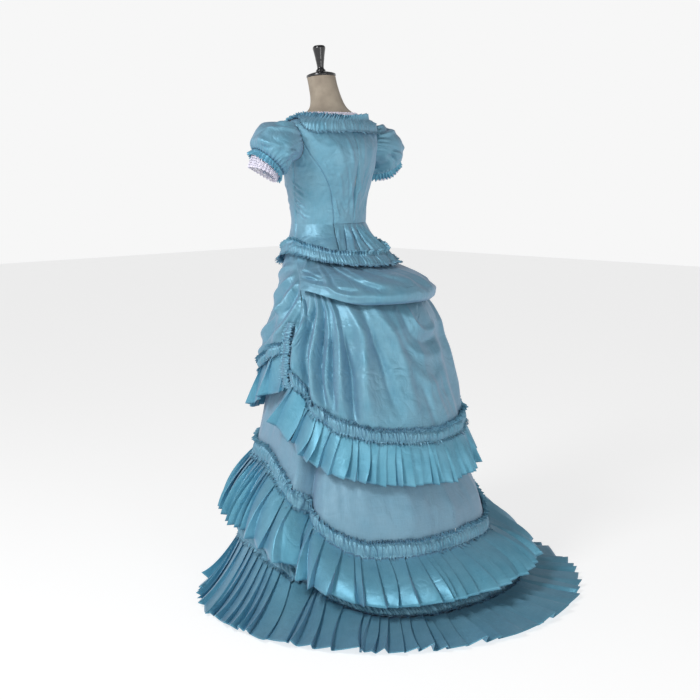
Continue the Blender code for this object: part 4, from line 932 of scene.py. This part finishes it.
def hemCurve(angle, v):
    # down from the hem band and out over the floor
    top = underskirtPoint(angle, hemOfUnderskirt(angle) + hemFall["tuck"])
    c, s = np.cos(np.radians(angle)), np.sin(np.radians(angle))
    depth = np.where(s > 0, train["back"], train["front"])
    edge = np.stack((train["side"] * c, train["centre"] + depth * s, train["z"] + 0 * c), -1)
    middle = (top + edge) / 2
    middle[..., 2] = top[..., 2] * hemFall["sag"]
    return bezierThrough(top, middle, edge)(v)


makeGores()
makeRingBand("tierBand", "tier_band", tierHeights, 270, 21)
makeRingBand("hemBand", "hem_band", hemHeights, 280, 22)
tierRuffle = pleated("tierRuffle", tierCurve, (-90.0, 270.0), True, tierLook, 31)
sewn(tierRuffle, ["tier_ruffle"])
hemRuffle = pleated("hemRuffle", hemCurve, (-90.0, 270.0), True, hemLook, 32)
sewn(hemRuffle, ["hem_ruffle"])
print("underskirt made")


overLook = {"topZ": 1.088, "bandTuck": 0.002, "bandClear": 0.0016, "calmOver": 0.05, "calmest": 0.25}
drapeWorn = {"creased": 1.4, "deepest": -0.016, "radius": 0.29, "uneven": 0.0022, "bumps": 0.08, "long": 0.6}
apronWorn = {"creased": 1.9, "radius": 0.27, "uneven": 0.0020, "bumps": 0.08, "frontShare": 0.45,
             "frontTo": 35, "over": 30}
# folds that fall from the gathered side: (angle, height) path, width and depth in mm
drapeCreases = [
    ([(6, 0.925), (9, 0.880), (14, 0.830)], 5, -13), ([(3, 0.89), (5, 0.84), (7, 0.77)], 6, 9),
    ([(14, 0.94), (9, 0.82), (6, 0.74), (7, 0.66), (12, 0.60)], 11, 12),
    ([(18, 0.94), (13, 0.80), (13, 0.72), (17, 0.64)], 9, -15),
    ([(18, 0.96), (20, 0.83), (19, 0.72), (19, 0.65), (21, 0.58)], 10, 12),
    ([(22, 0.94), (24, 0.78), (23, 0.69), (25, 0.60)], 7, -12),
    ([(22, 0.96), (29, 0.82), (27, 0.70), (27, 0.60)], 9, 10),
    ([(24, 0.94), (31, 0.78), (30, 0.67), (31, 0.58)], 7, -10),
    ([(26, 0.96), (36, 0.81), (36, 0.70), (34, 0.58)], 11, 14),
    ([(30, 0.94), (41, 0.74), (41, 0.63), (40, 0.54)], 9, -11),
    ([(36, 0.96), (50, 0.80), (48, 0.66), (46, 0.54)], 22, 13),
    ([(46, 0.94), (60, 0.76), (63, 0.66), (67, 0.55)], 13, -8),
    ([(52, 0.96), (73, 0.78), (76, 0.66), (77, 0.54)], 20, 9),
    ([(88, 0.93), (88, 0.86), (95, 0.82), (106, 0.815), (118, 0.84)], 10, 6),
    ([(78, 0.93), (83, 0.83), (94, 0.785), (108, 0.79), (122, 0.83)], 12, -5),
    ([(72, 0.92), (78, 0.80), (92, 0.745), (108, 0.745), (124, 0.79)], 15, 5),
    ([(76, 0.78), (84, 0.69), (98, 0.66), (114, 0.70)], 18, 4),
    ([(92, 0.70), (97, 0.60), (100, 0.53)], 16, 5), ([(84, 0.68), (88, 0.59), (90, 0.52)], 12, -5),
    ([(104, 0.70), (108, 0.60), (111, 0.53)], 12, -4),
]
drapeCreases += mirroredCreases(drapeCreases[:11], 0.9, -3.0)
apronCreases = [
    ([(4, 0.97), (-6, 0.93), (-14, 0.89), (-17, 0.86)], 9, 7), ([(4, 0.95), (-6, 0.90), (-12, 0.85)], 7, -6),
    ([(5, 0.93), (-3, 0.87), (-9, 0.82), (-15, 0.78)], 10, 8), ([(5, 0.89), (0, 0.83), (-4, 0.78)], 7, -6),
    ([(2, 0.99), (-12, 0.965), (-28, 0.93), (-44, 0.88)], 9, 6),
    ([(-4, 0.96), (-20, 0.92), (-36, 0.86)], 8, -5),
    ([(-2, 0.92), (-18, 0.87), (-34, 0.80), (-50, 0.76)], 12, 7),
    ([(-8, 0.86), (-22, 0.80), (-36, 0.74)], 9, -5),
    ([(-14, 0.82), (-28, 0.76), (-46, 0.71), (-66, 0.70)], 13, 7),
    ([(2, 1.01), (-20, 1.00), (-46, 0.965), (-72, 0.93), (-92, 0.92)], 10, 5),
    ([(-30, 0.97), (-54, 0.92), (-78, 0.88), (-96, 0.875)], 9, -5),
    ([(-40, 0.89), (-60, 0.84), (-80, 0.815), (-98, 0.81)], 13, 6),
    ([(-56, 0.79), (-76, 0.765), (-98, 0.765)], 10, -4), ([(-58, 0.74), (-78, 0.715), (-100, 0.715)], 14, 5),
]
apronCreases += mirroredCreases(apronCreases, 0.9, 2.0, about=-180.0, rise=0.005, wider=1.05)


def hemOfApron(angle):
    return along(apronHem, mirrored(angle))


def hemOfDrape(angle):
    return along(drapeHem, mirrored(angle))


def calmAtHem(z, hem):
    return overLook["calmest"] + (1 - overLook["calmest"]) * smooth((z - hem) / overLook["calmOver"])


def wornDrape(angle, z, out=0.0):
    look = drapeWorn
    folds = look["creased"] * creased(angle, z, drapeCreases, look["radius"])
    folds = np.maximum(folds, look["deepest"]) * calmAtHem(z, hemOfDrape(angle))
    bumps = look["uneven"] * rumple(angle, z * look["long"], look["radius"], look["bumps"], 7)
    return overskirtPoint(angle, z, out + folds + bumps)


def wornApron(angle, z, out=0.0):
    # its folds are calmer in front than by the knots at the hips
    look = apronWorn
    side = smooth((np.abs(angle + 90) - look["frontTo"]) / look["over"])
    side = look["frontShare"] + (1 - look["frontShare"]) * side
    folds = look["creased"] * creased(angle, z, apronCreases, look["radius"])
    folds = folds * calmAtHem(z, hemOfApron(angle)) * side
    bumps = look["uneven"] * rumple(angle, z, look["radius"], look["bumps"], 8)
    return overskirtPoint(angle, z, out + folds + bumps)


apronLook = {"name": "apron", "point": wornApron, "hem": hemOfApron, "span": (-184.95, 4.95), "columns": 210,
             "panelRows": 120, "bandHeight": 0.036, "gathers": 112, "bandSeed": 23, "length": 0.115,
             "flare": 0.022, "fan": 0.0, "ruffleSeed": 33,
             "pleats": 26, "rows": 16, "uneven": 0.48, "lean": 0.42, "rag": 0.03, "saw": 0.02, "opened": 0.3,
             "opens": 1.1, "clear": 0.0002, "topOverlap": 0.45, "lowOverlap": 0.12, "topDepth": 0.0040,
             "lowDepth": 0.0210, "curl": 0.009}
drapeLook = {"name": "drape", "point": wornDrape, "hem": hemOfDrape, "span": (5.05, 174.95), "columns": 280,
             "panelRows": 150, "bandHeight": 0.042, "gathers": 128, "bandSeed": 24, "length": 0.118,
             "flare": 0.030, "fan": 0.055, "ruffleSeed": 34,
             "pleats": 44, "rows": 16, "uneven": 0.46, "lean": 0.38, "rag": 0.03, "saw": 0.02, "opened": 0.25,
             "opens": 1.15, "clear": 0.0002, "topOverlap": 0.50, "lowOverlap": 0.14, "topDepth": 0.0040,
             "lowDepth": 0.0205, "curl": 0.010}


def makePanelAndBand(look):
    point, hem, name = look["point"], look["hem"], look["name"]
    angle = np.linspace(*look["span"], look["columns"])[None, :]
    low = hem(angle)
    z = low + (overLook["topZ"] - low) * np.linspace(0, 1, look["panelRows"])[:, None]
    panel = clothFrom("overskirt" + name.title(), point(angle + 0 * z, z), dressTaffeta)
    sewn(panel, ["overskirt_" + name])

    gathers, seed = look["gathers"], look["bandSeed"]
    angle = np.linspace(*look["span"], gathers * bandLook["columns"] + 1)[None, :]
    v = np.linspace(0, 1, bandLook["rows"])[:, None]
    wander = overWander[0] * rumple(angle, 0, *overWander[1:], seed)
    z = hem(angle) - overLook["bandTuck"] + (look["bandHeight"] + bandLook["over"]) * v + wander
    bandWorn = {**bandLook, "clear": overLook["bandClear"]}
    band = ruched(name + "Band", point(angle + 0 * v, z), False, bandWorn, gathers, seed)
    sewn(band, [name + "_band"])


fallLook = {"tuck": 0.004, "below": 0.006, "belly": 0.05, "beyond": 0.3}


def makeHangingRuffle(look):
    point, hem, span, flare = look["point"], look["hem"], look["span"], look["flare"]

    def curveAt(angle, v):
        # past its ends the ruffle goes on straight; near them it may fan out sideways
        inside = np.clip(angle, *span)
        top = point(inside, hem(inside) + fallLook["tuck"])
        way = outward(overskirtPoint, inside, hem(inside))
        aside = np.stack((-np.sin(np.radians(inside)), np.cos(np.radians(inside)), 0 * inside), -1)
        t = 2 * (inside - span[0]) / (span[1] - span[0]) - 1
        fan = look["fan"] * np.abs(t) ** 5 * np.sign(t) + np.radians(angle - inside) * fallLook["beyond"]
        low = top + way * flare + aside * fan[..., None]
        low[..., 2] -= look["length"] + fallLook["below"]
        middle = (top + low) / 2 + way * flare * fallLook["belly"]
        return bezierThrough(top, middle, low)(v)

    name = look["name"]
    ruffle = pleated(name + "Ruffle", curveAt, span, False, look, look["ruffleSeed"])
    sewn(ruffle, [name + "_ruffle"])


stripLook = {**bandLook, "clear": 0.0010, "lift": 0.0040, "depth": 0.0042, "edgeLift": 0.0030,
             "scallop": 0.0032, "gathers": 26, "columns": 6, "height": (0.845, 0.650), "width": 7.6,
             "out": 0.0095}
stripPath = ((0.63, 2.6), (0.68, -0.6), (0.75, 0.6), (0.82, -1.0), (0.86, 1.5))      # height and angle


def makeEdgeStrip():
    # the drape's band turns up along its front edge, on the wearer's left
    gathers = stripLook["gathers"]
    z = np.linspace(*stripLook["height"], gathers * stripLook["columns"] + 1)[None, :]
    v = np.linspace(0, 1, stripLook["rows"])[:, None]
    angle = along(stripPath, z) + (v - 0.5) * stripLook["width"]
    base = overskirtPoint(angle, z + 0 * v, stripLook["out"])
    piece = ruched("drapeEdgeStrip", base, False, stripLook, gathers, 27)
    sewn(piece, ["drape_band"])


makePanelAndBand(apronLook)
makeHangingRuffle(apronLook)
makePanelAndBand(drapeLook)
makeEdgeStrip()
makeHangingRuffle(drapeLook)
print("overskirt made")


puffLook = {"columns": 240, "rows": 66, "low": 0.904, "rise": 0.040, "topZ": 1.086, "swell": 0.006,
            "creased": 1.45, "radius": 0.24, "uneven": 0.0014}
puffCreases = [
    ([(36, 1.04), (28, 0.99), (28, 0.955), (40, 0.936), (58, 0.934)], 10, 6),
    ([(33, 1.01), (30, 0.965), (38, 0.948), (52, 0.944)], 7, -6),
    ([(44, 1.04), (42, 1.00), (47, 0.972), (58, 0.955), (74, 0.950)], 11, -9),
    ([(56, 1.05), (54, 1.00), (60, 0.97), (74, 0.960)], 12, 7),
    ([(66, 1.04), (66, 1.00), (76, 0.978), (92, 0.968)], 9, -7),
    ([(78, 1.05), (78, 1.00), (88, 0.980), (104, 0.975)], 13, 7),
    ([(92, 1.04), (94, 0.995), (100, 0.96), (112, 0.942)], 10, -6),
    ([(102, 1.05), (106, 1.00), (112, 0.96), (122, 0.94)], 13, 6),
    ([(6, 0.975), (18, 0.962), (32, 0.957), (48, 0.955)], 7, 5),
    ([(6, 0.985), (16, 0.985), (26, 0.995)], 6, 5), ([(6, 0.980), (18, 0.972), (28, 0.968)], 5, -5),
    ([(6, 0.995), (14, 1.005), (22, 1.03)], 6, 5), ([(8, 1.00), (16, 0.99), (24, 0.978)], 5, -5),
]
puffCreases += mirroredCreases(puffCreases[8:] + puffCreases[:3], 0.95, -2.0)


def makePuff():
    angle = np.linspace(puffFrom, 180.0 - puffFrom, puffLook["columns"])[None, :]
    inside = np.maximum(0.0, mirrored(angle) - puffFrom)
    low = puffLook["low"] + puffLook["rise"] * (1 - smooth(inside / 50))
    share = np.linspace(0, 1, puffLook["rows"])[:, None]
    z = low + (puffLook["topZ"] - low) * share
    quarter = np.radians(inside * 90 / (90 - puffFrom))
    swell = puffLook["swell"] * smooth((1.0 - z) / 0.03) * np.sin(quarter)
    radius = puffLook["radius"]
    folds = puffLook["creased"] * creased(angle, z, puffCreases, radius) * smooth(share * 6 + 0.2)
    slanting = angle + np.degrees(z) / radius
    soft = puffLook["uneven"] * rumple(slanting, z * 1.4, radius, 0.07, 9)
    points = ringPoint(puffRings, angle, z, swell + folds + soft)
    piece = clothFrom("overskirtPuff", points, dressTaffeta, thick=clothThick)
    sewn(piece, ["overskirt_puff"])


makePuff()
print("puff made")


peplumLook = {**bandLook, "clear": 0.0026, "lift": 0.0022, "depth": 0.0028, "edgeLift": 0.0078, "edge": 0.23,
              "gathers": 132, "below": 0.017, "height": 0.044}
neckLook = {**bandLook, "clear": 0.0018, "lift": 0.0016, "depth": 0.0026, "edgeLift": 0.0072,
            "scallop": 0.0048, "edge": 0.20, "gathers": 92, "narrow": 0.013, "widen": 0.039}
neckLaceLook = {"columns": 720, "rows": 12, "rim": 10, "height": 0.0115, "scallop": 0.0022, "scallops": 90,
                "thick": 0.0006}


def frillGrid(look):
    angle = np.linspace(-90, 270, look["gathers"] * look["columns"], endpoint=False)[None, :]
    v = np.linspace(0, 1, look["rows"])[:, None]
    return angle + 0 * v, v


def laceGaps(rows, columns, rim):
    # the holes of a net under its heading and up to its rim, with the cells' places
    i, j = np.meshgrid(np.arange(rows - 1), np.arange(columns), indexing="ij")
    return (i > 1) & (i < rim) & (i % 3 != 0) & ((j + (i // 3) * 2) % 4 < 2), i, j


def makePeplumFrill():
    angle, v = frillGrid(peplumLook)
    base = basquePoint(angle, hemOfPeplum(angle) - peplumLook["below"] + peplumLook["height"] * v, wall)
    piece = ruched("peplumFrill", base, True, peplumLook, peplumLook["gathers"], 25)
    sewn(piece, ["peplum_frill"])


def neckDrop(angle):
    # the frill is narrow over the shoulders
    share = smooth((np.abs(np.sin(np.radians(angle))) - 0.12) / 0.55)
    return neckLook["narrow"] + neckLook["widen"] * share


def makeNeckFrill():
    angle, v = frillGrid(neckLook)
    base = bodicePoint(angle, neckHeight(angle) - neckDrop(angle) * (1 - v) * 1.02 + 0.001, wall)
    piece = ruched("necklineFrill", base, True, neckLook, neckLook["gathers"], 26)
    sewn(piece, ["neckline_frill"])


def makeNeckLace():
    look = neckLaceLook
    angle = np.linspace(-90, 270, look["columns"], endpoint=False)[None, :]
    up = np.linspace(0, 1, look["rows"])[:, None]
    scallop = look["scallop"] * np.abs(np.sin(np.pi * angle / 360 * look["scallops"]))
    z = neckHeight(angle) + 0.0005 + (look["height"] + scallop) * up
    wave = 0.0012 + 0.0008 * np.sin(angle * 0.9) * up + 0.0014 * up
    gaps = laceGaps(look["rows"], look["columns"], look["rim"])[0]
    piece = clothFrom("necklineLace", bodicePoint(angle + 0 * up, z, wave), lace, closed=True,
                      thick=look["thick"], gaps=gaps)
    sewn(piece, ["neckline_lace"])


sleeveLook = {"headCentre": (0.176, 0.052, 1.387), "cuffCentre": (0.256, 0.034, 1.330),
              "bulge": (0.012, 0, 0.010), "cuffLean": 48.0, "cuffTurn": 22.0, "columns": 168, "rows": 52,
              "headGathers": 26, "cuffGathers": 34, "inside": 0.985, "out": 0.0008, "gatherDepth": 0.0030,
              "uneven": 0.0042, "creased": 1.35, "radius": 0.075, "length": 0.1}
# rows of the puffed sleeve: share of the way down, radius, how full its lower half is
sleeveShape = ((0.12, 0.062, 0.88), (0.36, 0.077, 0.80), (0.62, 0.082, 0.82), (0.82, 0.079, 0.86),
               (0.94, 0.070, 0.94), (1.0, 0.0585, 1.0))
sleeveCreases = [     # (turn in degrees, share of the way down) path, width and depth in mm
    ([(-330, 0.05), (-322, 0.30), (-300, 0.52), (-282, 0.60)], 7, 6),
    ([(-318, 0.06), (-308, 0.30), (-290, 0.46)], 6, -5), ([(-300, 0.04), (-292, 0.26), (-276, 0.40)], 7, 5),
    ([(-284, 0.05), (-276, 0.30), (-262, 0.50)], 7, -4),
    ([(-352, 0.62), (-334, 0.78), (-306, 0.84), (-280, 0.80)], 7, 6),
    ([(-344, 0.72), (-320, 0.90), (-296, 0.93)], 6, -5), ([(-20, 0.30), (-10, 0.55), (-12, 0.80)], 8, 5),
    ([(-34, 0.20), (-30, 0.55), (-34, 0.86)], 8, -5), ([(-250, 0.05), (-244, 0.34), (-250, 0.62)], 9, 5),
    ([(-226, 0.08), (-222, 0.40), (-228, 0.70)], 8, -4), ([(-200, 0.30), (-190, 0.60), (-196, 0.88)], 9, 4),
    ([(-120, 0.30), (-100, 0.55), (-80, 0.75)], 9, 4),
]
cuffLook = {"start": 0.0008, "frillRows": 12, "frillColumns": 10, "frillRadius": 0.0575, "frillSpread": 0.006,
            "frillLength": 0.017, "frillHang": 0.006, "frillThick": 0.0007}
cuffLaceLook = {"rows": 25, "columns": 336, "rim": 20, "radius": 0.0545, "length": 0.028, "scallop": 0.0035,
                "hang": (0.004, 0.026), "thick": 0.0005, "flowerCells": 28, "flowerRow": 10,
                "flowerRadius": 6.0}


def sleeveFrame(s):
    # the centre of a ring of the sleeve, its way up and its way back, s of the way from armhole to cuff
    lean, turn = (math.radians(sleeveLook[key]) * smooth(s) for key in ("cuffLean", "cuffTurn"))
    over = np.stack((np.sin(lean) * np.cos(turn), -np.sin(lean) * np.sin(turn), np.cos(lean)), -1)
    start, end = np.array(sleeveLook["headCentre"]), np.array(sleeveLook["cuffCentre"])
    s = np.asarray(s, float)[..., None]
    centre = start + (end - start) * s + np.array(sleeveLook["bulge"]) * np.sin(np.pi * np.minimum(1, s))
    return centre, over, np.stack((np.sin(turn), np.cos(turn), 0 * turn), -1)


def sleeveRing(s, radius, turn, under=1.0):
    centre, over, back = sleeveFrame(np.asarray(s, float))
    lift = np.sin(turn) * np.where(np.sin(turn) < 0, under, 1.0)
    return centre + over * (radius * lift)[..., None] + back * (radius * np.cos(turn))[..., None]


def gathersRound(turn, count, uneven, waves):
    return np.sin(turn * count + uneven * np.sin(turn * waves)) * 0.5 + 0.5


def sleevePoints():
    look = sleeveLook
    turn = -2 * math.pi * np.arange(look["columns"]) / look["columns"]
    headAngle, headZ = armhole(np.degrees(turn))
    centreZ = armholeCut["centreZ"]
    headZ = centreZ + (headZ - centreZ) * look["inside"]
    head = bodicePoint(headAngle * look["inside"], headZ, wall + look["out"])
    rings = [(s, *sleeveRing(s, radius, turn, under).reshape(-1)) for s, radius, under in sleeveShape]
    down = np.linspace(1, 0, look["rows"])
    base = along([(0.0, *head.reshape(-1))] + rings, down).reshape(look["rows"], look["columns"], 3)
    down, around = down[:, None], np.degrees(turn)[None, :]
    top = np.clip(np.sin(turn) + 0.75, 0, 1)
    headFold = gathersRound(turn, look["headGathers"], 1.3, 5) ** 1.4 * top
    cuffFold = gathersRound(turn, look["cuffGathers"], 1.1, 7) ** 1.4
    out = look["gatherDepth"] * headFold * smooth((0.34 - down) / 0.30) * smooth(down / 0.06)
    out = out + look["gatherDepth"] * cuffFold * smooth((down - 0.74) / 0.20)
    length, radius = look["length"], look["radius"]
    out = out + look["uneven"] * rumple(around, down * length, radius, 0.05, 12) * np.sin(np.pi * down)
    drawn = [([(a, length * share) for a, share in path], width, depth)
             for path, width, depth in sleeveCreases]
    creases = creased(around, down * length, drawn, radius)
    out = out + look["creased"] * creases * smooth(np.sin(np.pi * down) * 3)
    return base + gridNormals(base, True) * out[..., None]


def cuffGrid(rows, columns):
    # turns round the cuff, shares of the way down it, and the way it faces
    turn = -2 * math.pi * np.arange(columns) / columns
    _, over, back = sleeveFrame(np.float64(1.0))
    return turn, np.linspace(1, 0, rows)[:, None], np.cross(back, over)


def cuffFrillPoints():
    look, gathers = cuffLook, sleeveLook["cuffGathers"]
    turn, drop, axis = cuffGrid(look["frillRows"], gathers * look["frillColumns"])
    wave = 0.0040 * np.sin(turn * gathers + 1.2 * np.sin(turn * 6)) + 0.003 * np.sin(turn * 7 + 1)
    radius = look["frillRadius"] + (look["frillSpread"] + wave) * drop
    reach = look["start"] + (look["frillLength"] + 0.0022 * np.sin(turn * gathers + 1.2)) * drop
    points = sleeveRing(1.0, radius, turn + 0 * drop) + axis * reach[..., None]
    points[..., 2] -= look["frillHang"] * drop
    return points


def cuffLacePoints():
    look = cuffLaceLook
    turn, drop, axis = cuffGrid(look["rows"], look["columns"])
    radius = look["radius"] + 0.0022 * np.sin(turn * 24 + 0.8 * np.sin(turn * 5)) * drop
    reach = cuffLook["start"] + (look["length"] + look["scallop"] * np.abs(np.sin(turn * 13))) * drop
    points = sleeveRing(1.0, radius, turn + 0 * drop) + axis * reach[..., None]
    upper = 0.5 + 0.5 * np.sin(turn)
    points[..., 2] -= (look["hang"][0] + look["hang"][1] * upper ** 2) * drop ** 1.4     # limp, so it sags
    return points


def otherSide(points):
    other = points[:, ::-1].copy()
    other[..., 0] *= -1
    return other


def makeSleeves():
    gaps, i, j = laceGaps(cuffLaceLook["rows"], cuffLaceLook["columns"], cuffLaceLook["rim"])
    cells, row, radius = (cuffLaceLook[key] for key in ("flowerCells", "flowerRow", "flowerRadius"))
    flower = ((j % cells - cells / 2) / radius) ** 2 + ((i - row) / radius) ** 2
    gaps = gaps & (np.abs(flower - 0.8) > 0.35)      # a ring of solid net round each flower
    shapes = (sleevePoints(), cuffFrillPoints(), cuffLacePoints())
    for side, node in (("Left", "_left"), ("Right", "_right")):
        sleeve, frill, edging = shapes if side == "Left" else map(otherSide, shapes)
        sleeve = clothFrom("sleeve" + side, sleeve, dressTaffeta, closed=True, thick=clothThick)
        frill = clothFrom("cuffFrill" + side, frill, ruffleTaffeta, closed=True, thick=cuffLook["frillThick"])
        edging = clothFrom("cuffLace" + side, edging, lace, closed=True, thick=cuffLaceLook["thick"],
                           gaps=gaps)
        sewn(sleeve, ["sleeve" + node])
        sewn(frill, ["cuff_frill" + node])
        sewn(edging, ["cuff_lace" + node])


makePeplumFrill()
makeNeckFrill()
makeNeckLace()
makeSleeves()
print("trim made")


# the studio: the sky's brightness at the horizon and overhead, with the heights between which it changes
studio = {"place": (2.8238, 2.8238, 1.3185), "towards": (-0.716, -0.682, -0.149), "lens": 63.154,
          "sensor": 36.0, "horizon": 0.93, "overhead": 0.17, "between": (0.18, 0.50), "floor": "#A8A8A8",
          "floorGlow": 0.72, "floorHalf": 12, "floorZ": -0.0006}
lamps = (     # name, place, size, power, what it looks at
    ("softKey", (3.3, 0.3, 3.3), 1.2, 98.0, (0.0, 0.25, 0.8)),
    ("softFill", (1.5, 4.4, 1.7), 1.8, 30.0, (0.0, 0.25, 0.8)),
)


def makeCamera(scene):
    lens = bpy.data.cameras.new("studioCamera")
    lens.lens, lens.sensor_width = studio["lens"], studio["sensor"]
    camera = bpy.data.objects.new("studioCamera", lens)
    scene.collection.objects.link(camera)
    back = -Vector(studio["towards"]).normalized()
    across = Vector((0, 0, 1)).cross(back).normalized()
    stand = Matrix((across, back.cross(across), back)).transposed().to_4x4()
    stand.translation = studio["place"]
    camera.matrix_world = stand
    scene.camera = camera


def makeLight(scene):
    world = bpy.data.worlds.new("studioSky")
    world.use_nodes = True
    sky = world.node_tree
    where = addNode(sky, "ShaderNodeTexCoord", output="Generated")
    height = addNode(sky, "ShaderNodeSeparateXYZ", {0: where}, output="Z")
    background = sky.nodes["Background"]
    background.inputs["Color"].default_value = (1.0, 1.0, 1.0, 1.0)
    strength = mapped(sky, height, studio["horizon"], studio["overhead"], *studio["between"])
    feed(sky, background, {"Strength": strength})
    scene.world = world
    scene.view_settings.view_transform = "Standard"
    for name, place, size, power, target in lamps:
        light = bpy.data.lights.new(name, "AREA")
        light.shape, light.size, light.energy = "DISK", size, power
        lamp = bpy.data.objects.new(name, light)
        lamp.location = place
        lamp.rotation_euler = (Vector(place) - Vector(target)).to_track_quat("Z", "Y").to_euler()
        scene.collection.objects.link(lamp)


def makeFloor(scene):
    # an acrylic sheet lit from below
    acrylic, _, _ = startMaterial("litStudioAcrylic", {
        "Base Color": srgb(studio["floor"]), "Roughness": 0.95, "Specular IOR Level": 0.1,
        "Emission Color": (1.0, 1.0, 1.0, 1.0), "Emission Strength": studio["floorGlow"]})
    half, z = studio["floorHalf"], studio["floorZ"]
    mesh = bpy.data.meshes.new("studioFloor")
    corners = [(-half, -half, z), (half, -half, z), (half, half, z), (-half, half, z)]
    mesh.from_pydata(corners, [], [(0, 1, 2, 3)])
    mesh.materials.append(acrylic)
    floor = bpy.data.objects.new("studioFloor", mesh)
    scene.collection.objects.link(floor)


makeCamera(bpy.context.scene)
makeLight(bpy.context.scene)
makeFloor(bpy.context.scene)
for pieceName, (width, length, area) in sorted(cuts.items()):
    print("cut", pieceName, round(width, 3), round(length, 3), round(area, 3))
